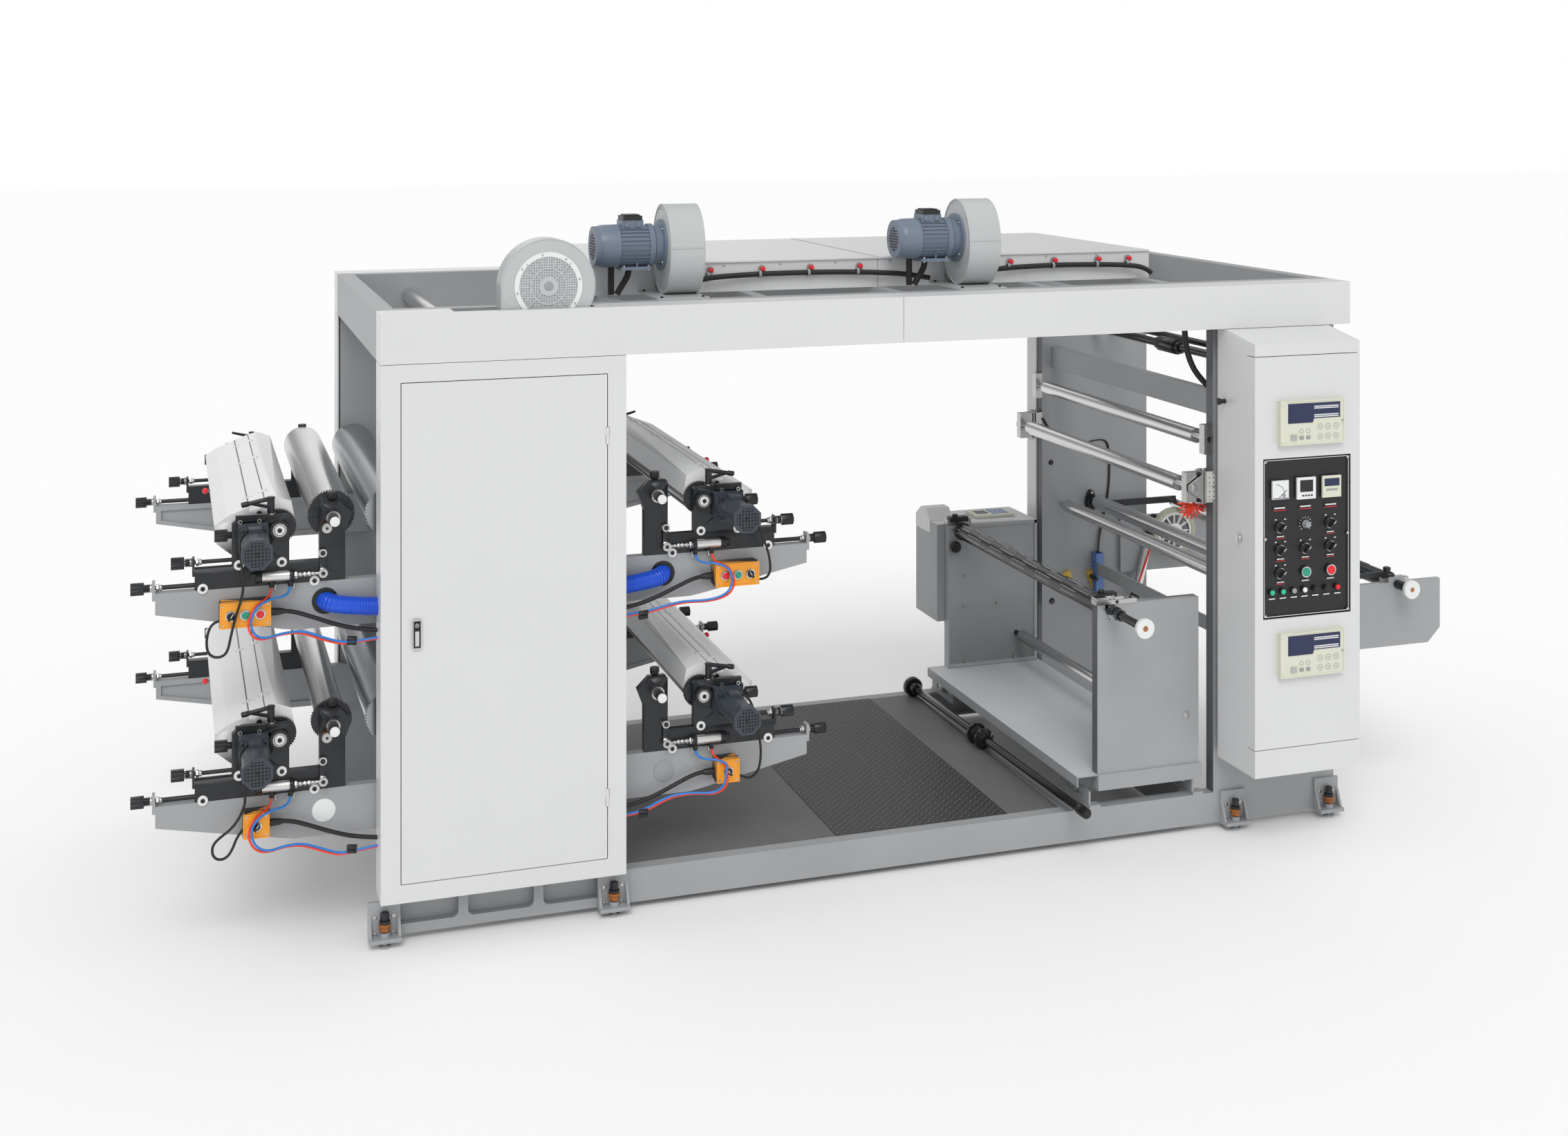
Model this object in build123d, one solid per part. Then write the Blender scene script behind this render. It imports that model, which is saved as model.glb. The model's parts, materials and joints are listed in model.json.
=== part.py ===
from build123d import *
import os
from math import cos, sin, pi, radians

os.makedirs("parts", exist_ok=True)

# A four-colour stack flexographic press for webs of film, paper or non-woven cloth.
# Millimetres. X runs along the machine from the print stand to the web stand,
# Y runs from the operator's side to the gear side, Z is up with the floor at 0.
# Everything is drawn from the print stand's front left corner, then moved to the footprint's middle.

# Whole machine
machine_length = 3866
machine_width = 1787
fascia_bottom = 2013
fascia_top = 2184
footprint_middle_x = 1820
footprint_middle_y = 788

# Clearances
seat_gap = 0.3
running_fit = 0.08
door_gap = 3

# Side frames: cast plates at the front, repeated at the back
plate_inset = 97
plate_thickness = 53
frame_foot = 24
print_stand_length = 858
print_plate_inset = 12
web_stand_start = 3292
pocket_depth = 34
pocket_rib = 34
pocket_columns = 3
pocket_rows = 5
pocket_corner = 22

# Base
rail_height = 121
rail_flange = 53
rail_web = 8
cross_beam_width = 60
cross_beam_xs = (960, 1675, 2382, 2640, 3180)
floor_sheet = 5
tread_start = 1705
tread_length = 707
tread_rise = 2
right_floor_end = 2622

# Levelling feet
foot_width = 110
foot_reach = 57
foot_base = 14
foot_leg = 12
foot_leg_height = 128
foot_gusset = 10
foot_bolt_radius = 10
foot_bolt_top = 118
foot_pad_radius = 20
foot_pad_height = 8
foot_nut_radius = 17
foot_nut_height = 16
foot_xs = (21, 829, 3375, 3811)

# Top frame
top_beam_width = 60
fascia_depth = 140
fascia_sheet = 4
fascia_seam = 1918
end_beam_width = 65
top_cross_xs = (860, 1420, 1975, 2620, 3150)
top_cross_width = 50
top_cross_height = 80
blower_notch_left = 254
blower_notch_right = 754
blower_notch_front = 36

# Front door of the print stand
surround_bottom = 170
surround_depth = 140
surround_wall = 6
door_left = 70
door_right = 788
door_bottom = 235
door_top = 1947
door_thickness = 20
pull_x = 122
pull_z = 1087
pull_width = 32
pull_height = 104
pull_depth = 8
hinge_zs = (420, 1700)
hinge_height = 60
hinge_radius = 6
hinge_pin_radius = 2.5
hinge_axis_x = 790

# Control cabinet
cabinet_left = 3289
cabinet_right = 3762
cabinet_front = -211
cabinet_back = 58
cabinet_bottom = 303
cabinet_shoulder = 1975
cabinet_sheet = 5
cabinet_door_bottom = 411
cabinet_door_top = 1926
cabinet_door_depth = 54
panel_left = 3325
panel_right = 3721
panel_bottom = 912
panel_top = 1532
panel_recess = 12
panel_sheet = 4
controller_left = 3386
controller_width = 290
controller_height = 172
controller_depth = 22
controller_zs = (686, 1584)

# Print units. Heights are above the arm's top, X is measured from the stand's left end.
arm_tops = (1257, 540)
arm_thickness = 40
arm_reach = 729
arm_root = 120
arm_root_height = 160
arm_belly_x = 314
arm_tip_height = 72
arm_recess = 9
arm_rim = 20
screw_height = 15
screw_radius = 8
screw_bracket = 10
screw_bracket_height = 62
screw_bracket_drop = 25
knob_radius = 21
knob_length = 43
knob_neck_radius = 12
knob_neck = 26
carriage_thickness = 36
carriage_bar_height = 72
carriage_outer = 602
carriage_inner = 104
upright_width = 88
upright_height = 272
upright_shoulder = 229
cylinder_axis_x = -147
cylinder_axis_height = 221
cylinder_radii = (76, 52)
cylinder_gear_radii = (81, 70)
cylinder_gear_teeth = (48, 42)
cylinder_gear_width = 16
cylinder_journal = 15
cylinder_stub = 92
drum_axis_x = 58
drum_axis_height = 213
drum_radius = 85
drum_gear_radius = 90
drum_gear_teeth = 52
drum_journal = 20
roller_end_gap = 8
inner_screw_height = 92
inner_bracket_bottom = 47
inner_bracket_top = 109
inner_bracket = 8
inner_screw_radius = 7
ink_plate_outer = 481
ink_plate_inner = 292
ink_plate_top = 238
anilox_axis_x = -325
anilox_axis_height = 189
anilox_radius = 48
anilox_gear_radius = 60
anilox_gear_teeth = 40
anilox_journal = 15
anilox_end_gear_radius = 34
anilox_end_gear_teeth = 24
anilox_end_gear_width = 14
housing_sheet = 5
housing_end_gap = 28
housing_spacer_radius = 9
adjuster_height = 176
motor_axis_x = -411
motor_axis_height = 170
motor_frame = 98
motor_gearbox_length = 62
motor_length = 215
motor_cover_length = 34
lid_seam_x = -424
lid_sheet = 4
throw_cylinder_radius = 17
throw_cylinder_length = 96
throw_cylinder_x = -387
throw_cylinder_height = 34
plate_travel = 60
ink_travel = 30

# Web stand rollers: X, Z and roller radius
idler_top_xz = (3286, 1556)
tension_roller_xz = (3205, 1369)
draw_roller_xz = (3560, 992)
idler_low_xz = (3400, 985)
idler_bay_xz = (292, 2088)
idler_radius = 30
tension_roller_radius = 31
draw_roller_radius = 33
idler_shaft_radius = 12.5
tie_beam_x = 3340
tie_beam_width = 42
tie_beam_bottom = 1640
tie_beam_height = 100
bracket_reach = 92
bracket_height = 118

# Unwind stand
platform_left = 2687
platform_right = 3237
platform_front = 97
platform_back = 1606
platform_top = 274
platform_sheet = 5
platform_skirt = 62
cheek_left = 2775
cheek_right = 3225
cheek_top = 936
cheek_thickness = 44
cheek_skirt_height = 74
side_box_left = 2735
side_box_reach = 256
side_box_bottom = 483
unwind_axis_x = 2830
unwind_axis_z = 915
unwind_core_radius = 36
unwind_journal = 16
unwind_disc_radius = 36
stand_travel = 50
slide_pin_radius = 9
slot_bracket_length = 240
slot_bracket_height = 62
slot_bracket_sheet = 8
slot_bracket_foot = 46
slot_bracket_xs = (2742, 3200)

# Rewind end
rewind_arm_left = 3700
rewind_arm_right = 4415
rewind_arm_top = 903
rewind_arm_bottom = 637
rewind_arm_thickness = 24
rewind_axis_xz = (4200, 895)
rewind_core_radius = 34

# Dryer hoods and blowers
hood_left = 830
hood_right = 3215
hood_seam = 2000
hood_front = 478
hood_back = 1560
hood_drop = 8
hood_height = 118
volute_xs = (1078, 2280)
volute_width = 128
volute_half_depth = 137
volute_half_height = 169
volute_y = 340
outlet_bottom = 2200
outlet_height = 90
outlet_inset = 8
blower_base = 6
blower_base_front = 170
blower_base_left = 60
blower_base_right = 10
blower_motor_radius = 74
blower_motor_length = 267
blower_motor_rise = 16
front_volute_xz = (587, 2261)
front_volute_face = 42
front_volute_radius = 168
front_outlet_bottom = 2060
front_outlet_width = 114
front_motor_length = 260


front_inner = plate_inset + plate_thickness
back_inner = machine_width - front_inner
back_outer = machine_width - plate_inset
web_stand_end = machine_length - print_plate_inset
rail_top = frame_foot + rail_height
middle_x = print_stand_length / 2


def block(x0, x1, y0, y1, z0, z1):
    """A box between two corners."""
    corner = Align.MIN, Align.MIN, Align.MIN
    return Pos(x0, y0, z0) * Box(x1 - x0, y1 - y0, z1 - z0, align=corner)


def rod_x(y, z, x0, x1, radius):
    """A round bar along X."""
    bar = Cylinder(radius, x1 - x0, align=(Align.CENTER, Align.CENTER, Align.MIN))
    return Pos(x0, y, z) * Rot(0, 90, 0) * bar


def rod_y(x, z, y0, y1, radius):
    """A round bar along Y."""
    bar = Cylinder(radius, y1 - y0, align=(Align.CENTER, Align.CENTER, Align.MIN))
    return Pos(x, y0, z) * Rot(-90, 0, 0) * bar


def rod_z(x, y, z0, z1, radius):
    """An upright round bar."""
    return Pos(x, y, z0) * Cylinder(radius, z1 - z0, align=(Align.CENTER, Align.CENTER, Align.MIN))


def slab_y(points, y0, y1):
    """An outline in X and Z, as thick as y0 to y1."""
    face = Plane.XZ.offset(-y0) * make_face(Polyline(*points, close=True))
    return extrude(face, -(y1 - y0))


def slab_x(points, x0, x1):
    """An outline in Y and Z, as thick as x0 to x1."""
    face = Plane.YZ.offset(x0) * make_face(Polyline(*points, close=True))
    return extrude(face, x1 - x0)


def joined(pieces):
    """One solid out of pieces that meet."""
    whole = pieces[0]
    for piece in pieces[1:]:
        whole = whole + piece
    return whole


def gear_y(x, z, y0, width, radius, teeth, tooth=5):
    """A spur gear about an axis along Y: straight flanks between a root and a tip circle."""
    points = []
    for k in range(teeth):
        for share, reach in ((0.0, -tooth), (0.3, 0.0), (0.55, 0.0), (0.85, -tooth)):
            angle = 2 * pi * (k + share) / teeth
            points.append((x + (radius + reach) * cos(angle), z + (radius + reach) * sin(angle)))
    return slab_y(points, y0, y0 + width)


def both_sides(front):
    """The piece at the front frame and its reflection at the back frame."""
    return [front, mirror(front, about=Plane.XZ.offset(-machine_width / 2))]


def mirrored_x(piece):
    """The same piece on the right side of the print stand."""
    return mirror(piece, about=Plane.YZ.offset(middle_x))


nodes = {}
web_brackets = []


def keep(name, *pieces):
    """Files the pieces of one node."""
    solids = []
    for piece in pieces:
        solids.extend(piece.solids())
    nodes[name] = solids


# Side frames

def print_side_frames():
    left = print_plate_inset
    right = print_stand_length - print_plate_inset
    plate = block(left, right, plate_inset, front_inner, frame_foot, fascia_bottom)
    pitch_x = (right - left - pocket_rib) / pocket_columns
    pitch_z = (fascia_bottom - frame_foot - pocket_rib) / pocket_rows
    for column in range(pocket_columns):
        for row in range(pocket_rows):
            x = left + pocket_rib + column * pitch_x
            z = frame_foot + pocket_rib + row * pitch_z
            pocket = block(x, x + pitch_x - pocket_rib, plate_inset, plate_inset + pocket_depth,
                           z, z + pitch_z - pocket_rib)
            plate = plate - fillet(pocket.edges().filter_by(Axis.Y), pocket_corner)
    bores = []
    for arm_top in arm_tops:
        z = arm_top + drum_axis_height
        for x in (drum_axis_x, print_stand_length - drum_axis_x):
            bores.append(rod_y(x, z, plate_inset, front_inner, drum_journal + running_fit))
            boss = rod_y(x, z, plate_inset + 8, front_inner, drum_journal + 24)
            plate = plate + (boss & block(left, right, 0, front_inner, 0, fascia_bottom))
    for bore in bores:
        plate = plate - bore
    keep("print_side_frames", *both_sides(plate))


def web_side_frames():
    plate = block(web_stand_start, web_stand_end, plate_inset, front_inner, frame_foot, fascia_bottom)
    for x, z, radius in ((3460, 1905, 36), (3340, 1185, 14), (3345, 520, 16)):
        plate = plate - rod_y(x, z, plate_inset, front_inner, radius)
    for x, z in (idler_top_xz, idler_low_xz, draw_roller_xz):
        if x - idler_shaft_radius > web_stand_start:
            plate = plate - rod_y(x, z, plate_inset, front_inner, idler_shaft_radius + running_fit)
    keep("web_side_frames", *both_sides(plate))


def base():
    rail = block(print_stand_length, web_stand_start, plate_inset, plate_inset + rail_flange,
                 frame_foot, rail_top)
    hollow = block(print_stand_length, web_stand_start, plate_inset + rail_web, front_inner,
                   frame_foot + rail_web, rail_top - rail_web)
    keep("base_rails", *both_sides(rail - hollow))
    beams = []
    for x in cross_beam_xs:
        beams.append(block(x, x + cross_beam_width, front_inner, back_inner,
                           frame_foot, rail_top - floor_sheet))
    keep("base_cross_beams", *beams)
    top = rail_top
    left = block(print_stand_length, tread_start, front_inner, back_inner, top - floor_sheet, top)
    right = block(tread_start + tread_length, right_floor_end, front_inner, back_inner,
                  top - floor_sheet, top)
    keep("floor_plates", left, right)
    keep("tread_plate", block(tread_start, tread_start + tread_length, front_inner, back_inner,
                              top - floor_sheet, top + tread_rise))


def levelling_feet():
    feet = []
    for x in foot_xs:
        x0 = x - foot_width / 2
        x1 = x + foot_width / 2
        y0 = plate_inset - foot_reach
        z0 = frame_foot - 2
        leg = block(x0, x1, plate_inset - foot_leg, plate_inset, z0, z0 + foot_leg_height)
        base = block(x0, x1, y0, plate_inset, z0, z0 + foot_base)
        outline = [(y0 + 8, z0), (plate_inset, z0), (plate_inset, z0 + foot_leg_height - 10)]
        gussets = [slab_x(outline, x0, x0 + foot_gusset), slab_x(outline, x1 - foot_gusset, x1)]
        y = y0 + 26
        bolt = rod_z(x, y, 0, foot_bolt_top, foot_bolt_radius)
        pad = rod_z(x, y, 0, foot_pad_height, foot_pad_radius)
        nut = rod_z(x, y, z0 + foot_base, z0 + foot_base + foot_nut_height, foot_nut_radius)
        feet.append(joined([leg, base, *gussets, bolt, pad, nut]))
    pairs = []
    for foot in feet:
        pairs.extend(both_sides(foot))
    keep("levelling_feet", *pairs)


def top_frame():
    low = fascia_bottom
    beam_front = fascia_depth
    beam_back = fascia_depth + top_beam_width
    beam = block(0, machine_length, beam_front, beam_back, low, fascia_top)
    x, z = idler_bay_xz
    beam = beam - rod_y(x, z, beam_front, beam_back, idler_shaft_radius + running_fit)
    keep("top_side_beams", *both_sides(beam))
    y0 = beam_back
    y1 = machine_width - beam_back
    cross = [block(0, end_beam_width, y0, y1, low, fascia_top),
             block(machine_length - end_beam_width, machine_length, y0, y1, low, fascia_top)]
    top = fascia_top - hood_drop
    for x in top_cross_xs:
        cross.append(block(x, x + top_cross_width, y0, y1, top - top_cross_height, top))
    keep("top_cross_beams", *cross)


def fascia():
    """White panels along both sides: a face, a top flange that meets the beam, and closed ends."""
    t = fascia_sheet
    outline = [(0, fascia_bottom), (t, fascia_bottom), (t, fascia_top - t),
               (fascia_depth, fascia_top - t), (fascia_depth, fascia_top), (0, fascia_top)]
    left = slab_x(outline, 0, fascia_seam - 1)
    left = left + block(0, t, 0, fascia_depth, fascia_bottom, fascia_top)
    right = slab_x(outline, fascia_seam + 1, machine_length)
    right = right + block(machine_length - t, machine_length, 0, fascia_depth, fascia_bottom, fascia_top)
    notch = block(blower_notch_left, blower_notch_right, blower_notch_front, fascia_depth,
                  fascia_bottom, fascia_top)
    back = mirror(left, about=Plane.XZ.offset(-machine_width / 2))
    keep("fascia_panels", left - notch, back, *both_sides(right))


def surround():
    outer = block(0, print_stand_length, 0, surround_depth, surround_bottom, fascia_bottom - 2)
    hollow = block(surround_wall, print_stand_length - surround_wall, surround_wall, plate_inset,
                   surround_bottom + surround_wall, fascia_bottom - 2 - surround_wall)
    hollow = hollow + block(surround_wall, print_stand_length - surround_wall, plate_inset,
                            surround_depth, surround_bottom, fascia_bottom - 2)
    opening = block(door_left - door_gap, door_right + door_gap, 0, surround_wall,
                    door_bottom - door_gap, door_top + door_gap)
    cover = outer - hollow - opening
    door = block(door_left, door_right, 0, door_thickness, door_bottom, door_top)
    cup = block(pull_x - pull_width / 2, pull_x + pull_width / 2, 0, pull_depth,
                pull_z - pull_height / 2, pull_z + pull_height / 2)
    cup = fillet(cup.edges().filter_by(Axis.Y), pull_width / 2 - 1)
    grip = rod_z(pull_x, pull_depth / 2, pull_z - pull_height / 2, pull_z + pull_height / 2, 3.5)
    door = door - cup + grip
    reach = hinge_radius + 1
    for z in hinge_zs:
        middle = z + hinge_height / 2
        top = z + hinge_height
        space = block(hinge_axis_x - reach, hinge_axis_x + reach, -reach, door_thickness,
                      z - 1, top + 1)
        pin = rod_z(hinge_axis_x, 0, middle, top, hinge_pin_radius)
        bore = rod_z(hinge_axis_x, 0, middle, top, hinge_pin_radius + running_fit)
        leaf = block(door_right - reach, hinge_axis_x, 0, surround_wall, middle + seat_gap, top)
        door = (door - space) + leaf + rod_z(hinge_axis_x, 0, middle + seat_gap, top, hinge_radius)
        door = door - bore
        leaf = block(hinge_axis_x, hinge_axis_x + reach, 0, surround_wall, z, middle)
        cover = (cover - space) + leaf + rod_z(hinge_axis_x, 0, z, middle, hinge_radius) + pin
    keep("print_surround", cover)
    keep("print_door", door)


def back_covers():
    """Closed sheet housings behind the back plates, with side walls that reach round the plates."""
    wall = surround_wall
    y0 = machine_width - surround_depth
    top = fascia_bottom - 2
    print_cover = block(0, print_stand_length, y0, machine_width, surround_bottom, top)
    print_cover = print_cover - block(wall, print_stand_length - wall, y0, back_outer,
                                      surround_bottom, top)
    left = web_stand_start - wall
    right = web_stand_end + wall
    web_cover = block(left, right, y0, machine_width, surround_bottom, top)
    web_cover = web_cover - block(left, right - wall, y0, back_outer, surround_bottom, top)
    keep("back_covers", print_cover, web_cover)


def cabinet():
    door_back = cabinet_front + cabinet_door_depth
    sheet = cabinet_sheet
    side = [(cabinet_back, cabinet_bottom), (cabinet_back, fascia_bottom - 2), (-6, fascia_bottom - 2),
            (cabinet_front, cabinet_shoulder), (cabinet_front, cabinet_door_top + door_gap),
            (door_back, cabinet_door_top + door_gap), (door_back, cabinet_door_bottom - door_gap),
            (cabinet_front, cabinet_door_bottom - door_gap), (cabinet_front, cabinet_bottom)]
    body = slab_x(side, cabinet_left, cabinet_right)
    room = block(cabinet_left + sheet, cabinet_right - sheet, door_back, cabinet_back - sheet,
                 cabinet_door_bottom + 10, cabinet_door_top - 10)
    keep("control_cabinet", body - room)
    stand_off = block(cabinet_left + 40, cabinet_right - 40, cabinet_back, plate_inset,
                      cabinet_bottom + 60, cabinet_bottom + 120)
    high = block(cabinet_left + 40, cabinet_right - 40, cabinet_back, plate_inset,
                 fascia_bottom - 140, fascia_bottom - 80)
    web_brackets.extend([stand_off, high])
    door = block(cabinet_left, cabinet_right, cabinet_front, door_back - seat_gap,
                 cabinet_door_bottom, cabinet_door_top)
    pan = block(cabinet_left + sheet, cabinet_right - sheet, cabinet_front + sheet, door_back,
                cabinet_door_bottom + sheet, cabinet_door_top - sheet)
    window = block(panel_left, panel_right, cabinet_front, cabinet_front + sheet, panel_bottom, panel_top)
    door = door - pan - window
    rim = 12
    panel_face = cabinet_front + panel_recess
    keep("cabinet_door", door)
    panel = block(panel_left - rim, panel_right + rim, panel_face, panel_face + panel_sheet,
                  panel_bottom - rim, panel_top + rim)
    frame_ring = block(panel_left - rim, panel_right + rim, cabinet_front + sheet, panel_face,
                       panel_bottom - rim, panel_top + rim)
    frame_ring = frame_ring - block(panel_left, panel_right, cabinet_front, panel_face,
                                    panel_bottom, panel_top)
    controllers = []
    for z in controller_zs:
        controllers.append(block(controller_left, controller_left + controller_width,
                                 cabinet_front - controller_depth, cabinet_front,
                                 z, z + controller_height))
    keep("control_panel", panel + frame_ring)
    keep("tension_controllers", *controllers)


# Print units, drawn for the left side of the stand

def arm(top):
    tip = -arm_reach
    outline = [(arm_root, top), (tip, top), (tip, top - arm_tip_height),
               (-arm_belly_x, top - arm_root_height + 6), (-arm_belly_x + 40, top - arm_root_height),
               (arm_root, top - arm_root_height)]
    body = slab_y(outline, front_inner, front_inner + arm_thickness)
    recess = [(-30, top - arm_rim), (tip + arm_rim, top - arm_rim),
              (tip + arm_rim, top - arm_tip_height + 12),
              (-arm_belly_x, top - arm_root_height + arm_rim + 6), (-30, top - arm_root_height + arm_rim)]
    body = body - slab_y(recess, front_inner + arm_thickness - arm_recess, front_inner + arm_thickness)
    y = front_inner + arm_thickness / 2
    bracket = block(tip - screw_bracket, tip, front_inner, front_inner + arm_thickness,
                    top - screw_bracket_drop, top - screw_bracket_drop + screw_bracket_height)
    bracket = bracket - rod_x(y, top + screw_height, tip - screw_bracket, tip, screw_radius + running_fit)
    return [body, bracket]


def knob_x(y, z, face, length, neck):
    """A fluted knob whose outer end is at face, on a neck that points to +X."""
    points = []
    flutes = 10
    for k in range(flutes):
        for share, reach in ((0.0, -2.5), (0.25, 0.0), (0.75, 0.0)):
            angle = 2 * pi * (k + share) / flutes
            points.append((y + (knob_radius + reach) * cos(angle), z + (knob_radius + reach) * sin(angle)))
    return slab_x(points, face, face + length) + rod_x(y, z, face + length, face + length + neck,
                                                       knob_neck_radius)


def plate_carriage_side(top):
    seat = top + seat_gap
    inner = -carriage_inner
    outline = [(-carriage_outer, seat), (-carriage_outer, top + carriage_bar_height),
               (inner - upright_width, top + carriage_bar_height),
               (inner - upright_width, top + upright_height - 9),
               (inner - upright_width + 6, top + upright_height), (inner - 20, top + upright_height),
               (inner + 24, top + upright_shoulder), (inner, top + upright_shoulder - 62), (inner, seat)]
    y0 = front_inner + 2
    y1 = y0 + carriage_thickness
    y = front_inner + arm_thickness / 2
    side = slab_y(outline, y0, y1)
    side = side - rod_y(cylinder_axis_x, top + cylinder_axis_height, y0, y1,
                        cylinder_journal + running_fit)
    top_knob = rod_z(cylinder_axis_x, y, top + upright_height, top + upright_height + 16, 7)
    top_knob = top_knob + rod_z(cylinder_axis_x, y, top + upright_height + 16,
                                top + upright_height + 30, 17)
    bracket = block(-carriage_outer - inner_bracket, -carriage_outer, y0, y1,
                    top + inner_bracket_bottom, top + inner_bracket_top)
    bracket = bracket - rod_x(y, top + inner_screw_height, -carriage_outer - inner_bracket,
                              -carriage_outer, inner_screw_radius + running_fit)
    screw = rod_x(y, top + screw_height, -arm_reach - screw_bracket - knob_neck, -carriage_outer,
                  screw_radius)
    knob = knob_x(y, top + screw_height, -arm_reach - screw_bracket - knob_neck - knob_length,
                  knob_length, knob_neck - 4)
    return joined([side, top_knob, bracket, screw, knob])


def throw_cylinder(top):
    """The air cylinder and its lever on the operator's side of the plate carriage."""
    y = front_inner - 22
    z = top + throw_cylinder_height
    x0 = throw_cylinder_x
    x1 = x0 + throw_cylinder_length
    barrel = rod_x(y, z, x0, x1, throw_cylinder_radius)
    caps = [rod_x(y, z, x0 - 14, x0, throw_cylinder_radius + 2),
            rod_x(y, z, x1, x1 + 12, throw_cylinder_radius + 2)]
    tail = block(x0 - 34, x0 - 14, y - 7, y + 7, z - 12, z + 12)
    pivot = rod_y(x0 - 26, z, y, front_inner + 2, 7)
    piston = rod_x(y, z, x1 + 12, cylinder_axis_x - 42, 5)
    eye = rod_y(cylinder_axis_x - 34, z, y - 8, y + 8, 15)
    lever = slab_y([(cylinder_axis_x - 44, z - 8), (cylinder_axis_x - 24, z - 8),
                    (cylinder_axis_x - 24, z + 78), (cylinder_axis_x - 44, z + 78)],
                   y + 8, y + 16)
    boss = rod_y(cylinder_axis_x - 34, z + 66, y + 8, front_inner + 2, 12)
    return joined([barrel, *caps, tail, pivot, piston, eye, lever, boss])


def housing_outline(top):
    """The bent sheet cover over the inking rollers, seen along Y."""
    shape = ((-482, 98), (-530, 138), (-536, 201), (-495, 230), (lid_seam_x, 258), (-365, 281),
             (-331, 288), (-281, 270), (-268, 200), (-300, 98))
    return [(x, top + z) for x, z in shape]


def lid_cut(top):
    """The part of the cover that lifts: from the seam down over the outer flank."""
    return [(-600, top + 150), (-500, top + 150), (-480, top + 215), (lid_seam_x, top + 240),
            (lid_seam_x, top + 330), (-600, top + 330)]


def housing_shell(top):
    y0 = front_inner + arm_thickness + housing_end_gap
    y1 = machine_width - y0
    outline = housing_outline(top)
    solid = slab_y(outline, y0, y1)
    inner_face = offset(make_face(Polyline(*outline, close=True)), -housing_sheet)
    inner = extrude(Plane.XZ.offset(-y0 - housing_sheet) * inner_face, -(y1 - y0 - 2 * housing_sheet))
    mouth = block(-345, -200, y0, y1, top + 60, top + anilox_axis_height + 8)
    shell = solid - inner - mouth
    shell = shell - rod_y(anilox_axis_x, top + anilox_axis_height, y0, y1, anilox_journal + 12)
    return shell


def ink_unit(top):
    y0 = front_inner + 2
    y1 = y0 + carriage_thickness
    y = front_inner + arm_thickness / 2
    seat = top + carriage_bar_height + seat_gap
    outer = -ink_plate_outer
    inner = -ink_plate_inner
    outline = [(outer, seat), (inner, seat), (inner, top + ink_plate_top - 8),
               (inner - 8, top + ink_plate_top), (outer + 30, top + ink_plate_top),
               (outer, top + ink_plate_top - 24)]
    side = slab_y(outline, y0, y1)
    side = side - rod_y(anilox_axis_x, top + anilox_axis_height, y0, y1, anilox_journal + running_fit)
    screw_end = -carriage_outer - inner_bracket - knob_neck
    screw = rod_x(y, top + inner_screw_height, screw_end, outer, inner_screw_radius)
    knob = knob_x(y, top + inner_screw_height, screw_end - knob_length, knob_length, knob_neck - 4)
    adjuster = knob_x(y, top + adjuster_height, outer - 14 - knob_length, knob_length, 14)
    lever_post = rod_z(-352, y, top + ink_plate_top, top + ink_plate_top + 44, 11)
    lever = slab_y([(-352, top + 268), (-430, top + 286), (-430, top + 278), (-352, top + 256)],
                   y - 6, y + 6)
    spacer_y = front_inner + arm_thickness + housing_end_gap
    spacers = [rod_y(-440, top + 160, y1, spacer_y, housing_spacer_radius),
               rod_y(-390, top + 240, y1, spacer_y, housing_spacer_radius)]
    half = joined([side, screw, knob, adjuster, lever_post, lever, *spacers])
    front, back = both_sides(half)
    shell = housing_shell(top) - slab_y(lid_cut(top), 0, machine_width)
    return joined([shell, front, back, gear_motor(top, y0)])


def gear_motor(top, face):
    """Square gearbox, round motor and octagonal fan cover, bolted to the ink carriage."""
    x = motor_axis_x
    z = top + motor_axis_height
    half = motor_frame / 2
    box = block(x - half, x + half, face - motor_gearbox_length, face, z - half, z + half)
    box = fillet(box.edges().filter_by(Axis.Y), 8)
    front = face - motor_gearbox_length
    end = face - motor_gearbox_length - motor_length
    body = rod_y(x, z, end + motor_cover_length, front, half - 4)
    points = []
    for k in range(8):
        angle = pi / 8 + k * pi / 4
        points.append((x + half / cos(pi / 8) * cos(angle), z + half / cos(pi / 8) * sin(angle)))
    cover = slab_y(points, end, end + motor_cover_length)
    return joined([box, body, cover])


def ink_lid(top):
    lid = housing_shell(top) & slab_y(lid_cut(top), 0, machine_width)
    gap = 1.0
    trim = block(lid_seam_x - gap, lid_seam_x + gap, 0, machine_width, top + 200, top + 330)
    low_edge = block(-600, -440, 0, machine_width, top + 150, top + 150 + gap)
    lid = lid - trim - low_edge
    knob = Pos(-552, machine_width / 2, top + 190) * Sphere(11)
    neck = rod_x(machine_width / 2, top + 190, -550, -531, 5)
    return lid + knob + neck


def anilox(top):
    z = top + anilox_axis_height
    face0 = front_inner + arm_thickness + housing_end_gap + housing_sheet + 3
    face1 = machine_width - face0
    end = front_inner - 16
    shaft = rod_y(anilox_axis_x, z, end, machine_width - front_inner - 2, anilox_journal)
    roll = rod_y(anilox_axis_x, z, face0, face1, anilox_radius)
    gear = gear_y(anilox_axis_x, z, front_inner + arm_thickness + 4, 18, anilox_gear_radius,
                  anilox_gear_teeth)
    small = gear_y(anilox_axis_x, z, end, anilox_end_gear_width, anilox_end_gear_radius,
                   anilox_end_gear_teeth, 4)
    return joined([shaft, roll, gear, small])


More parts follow.
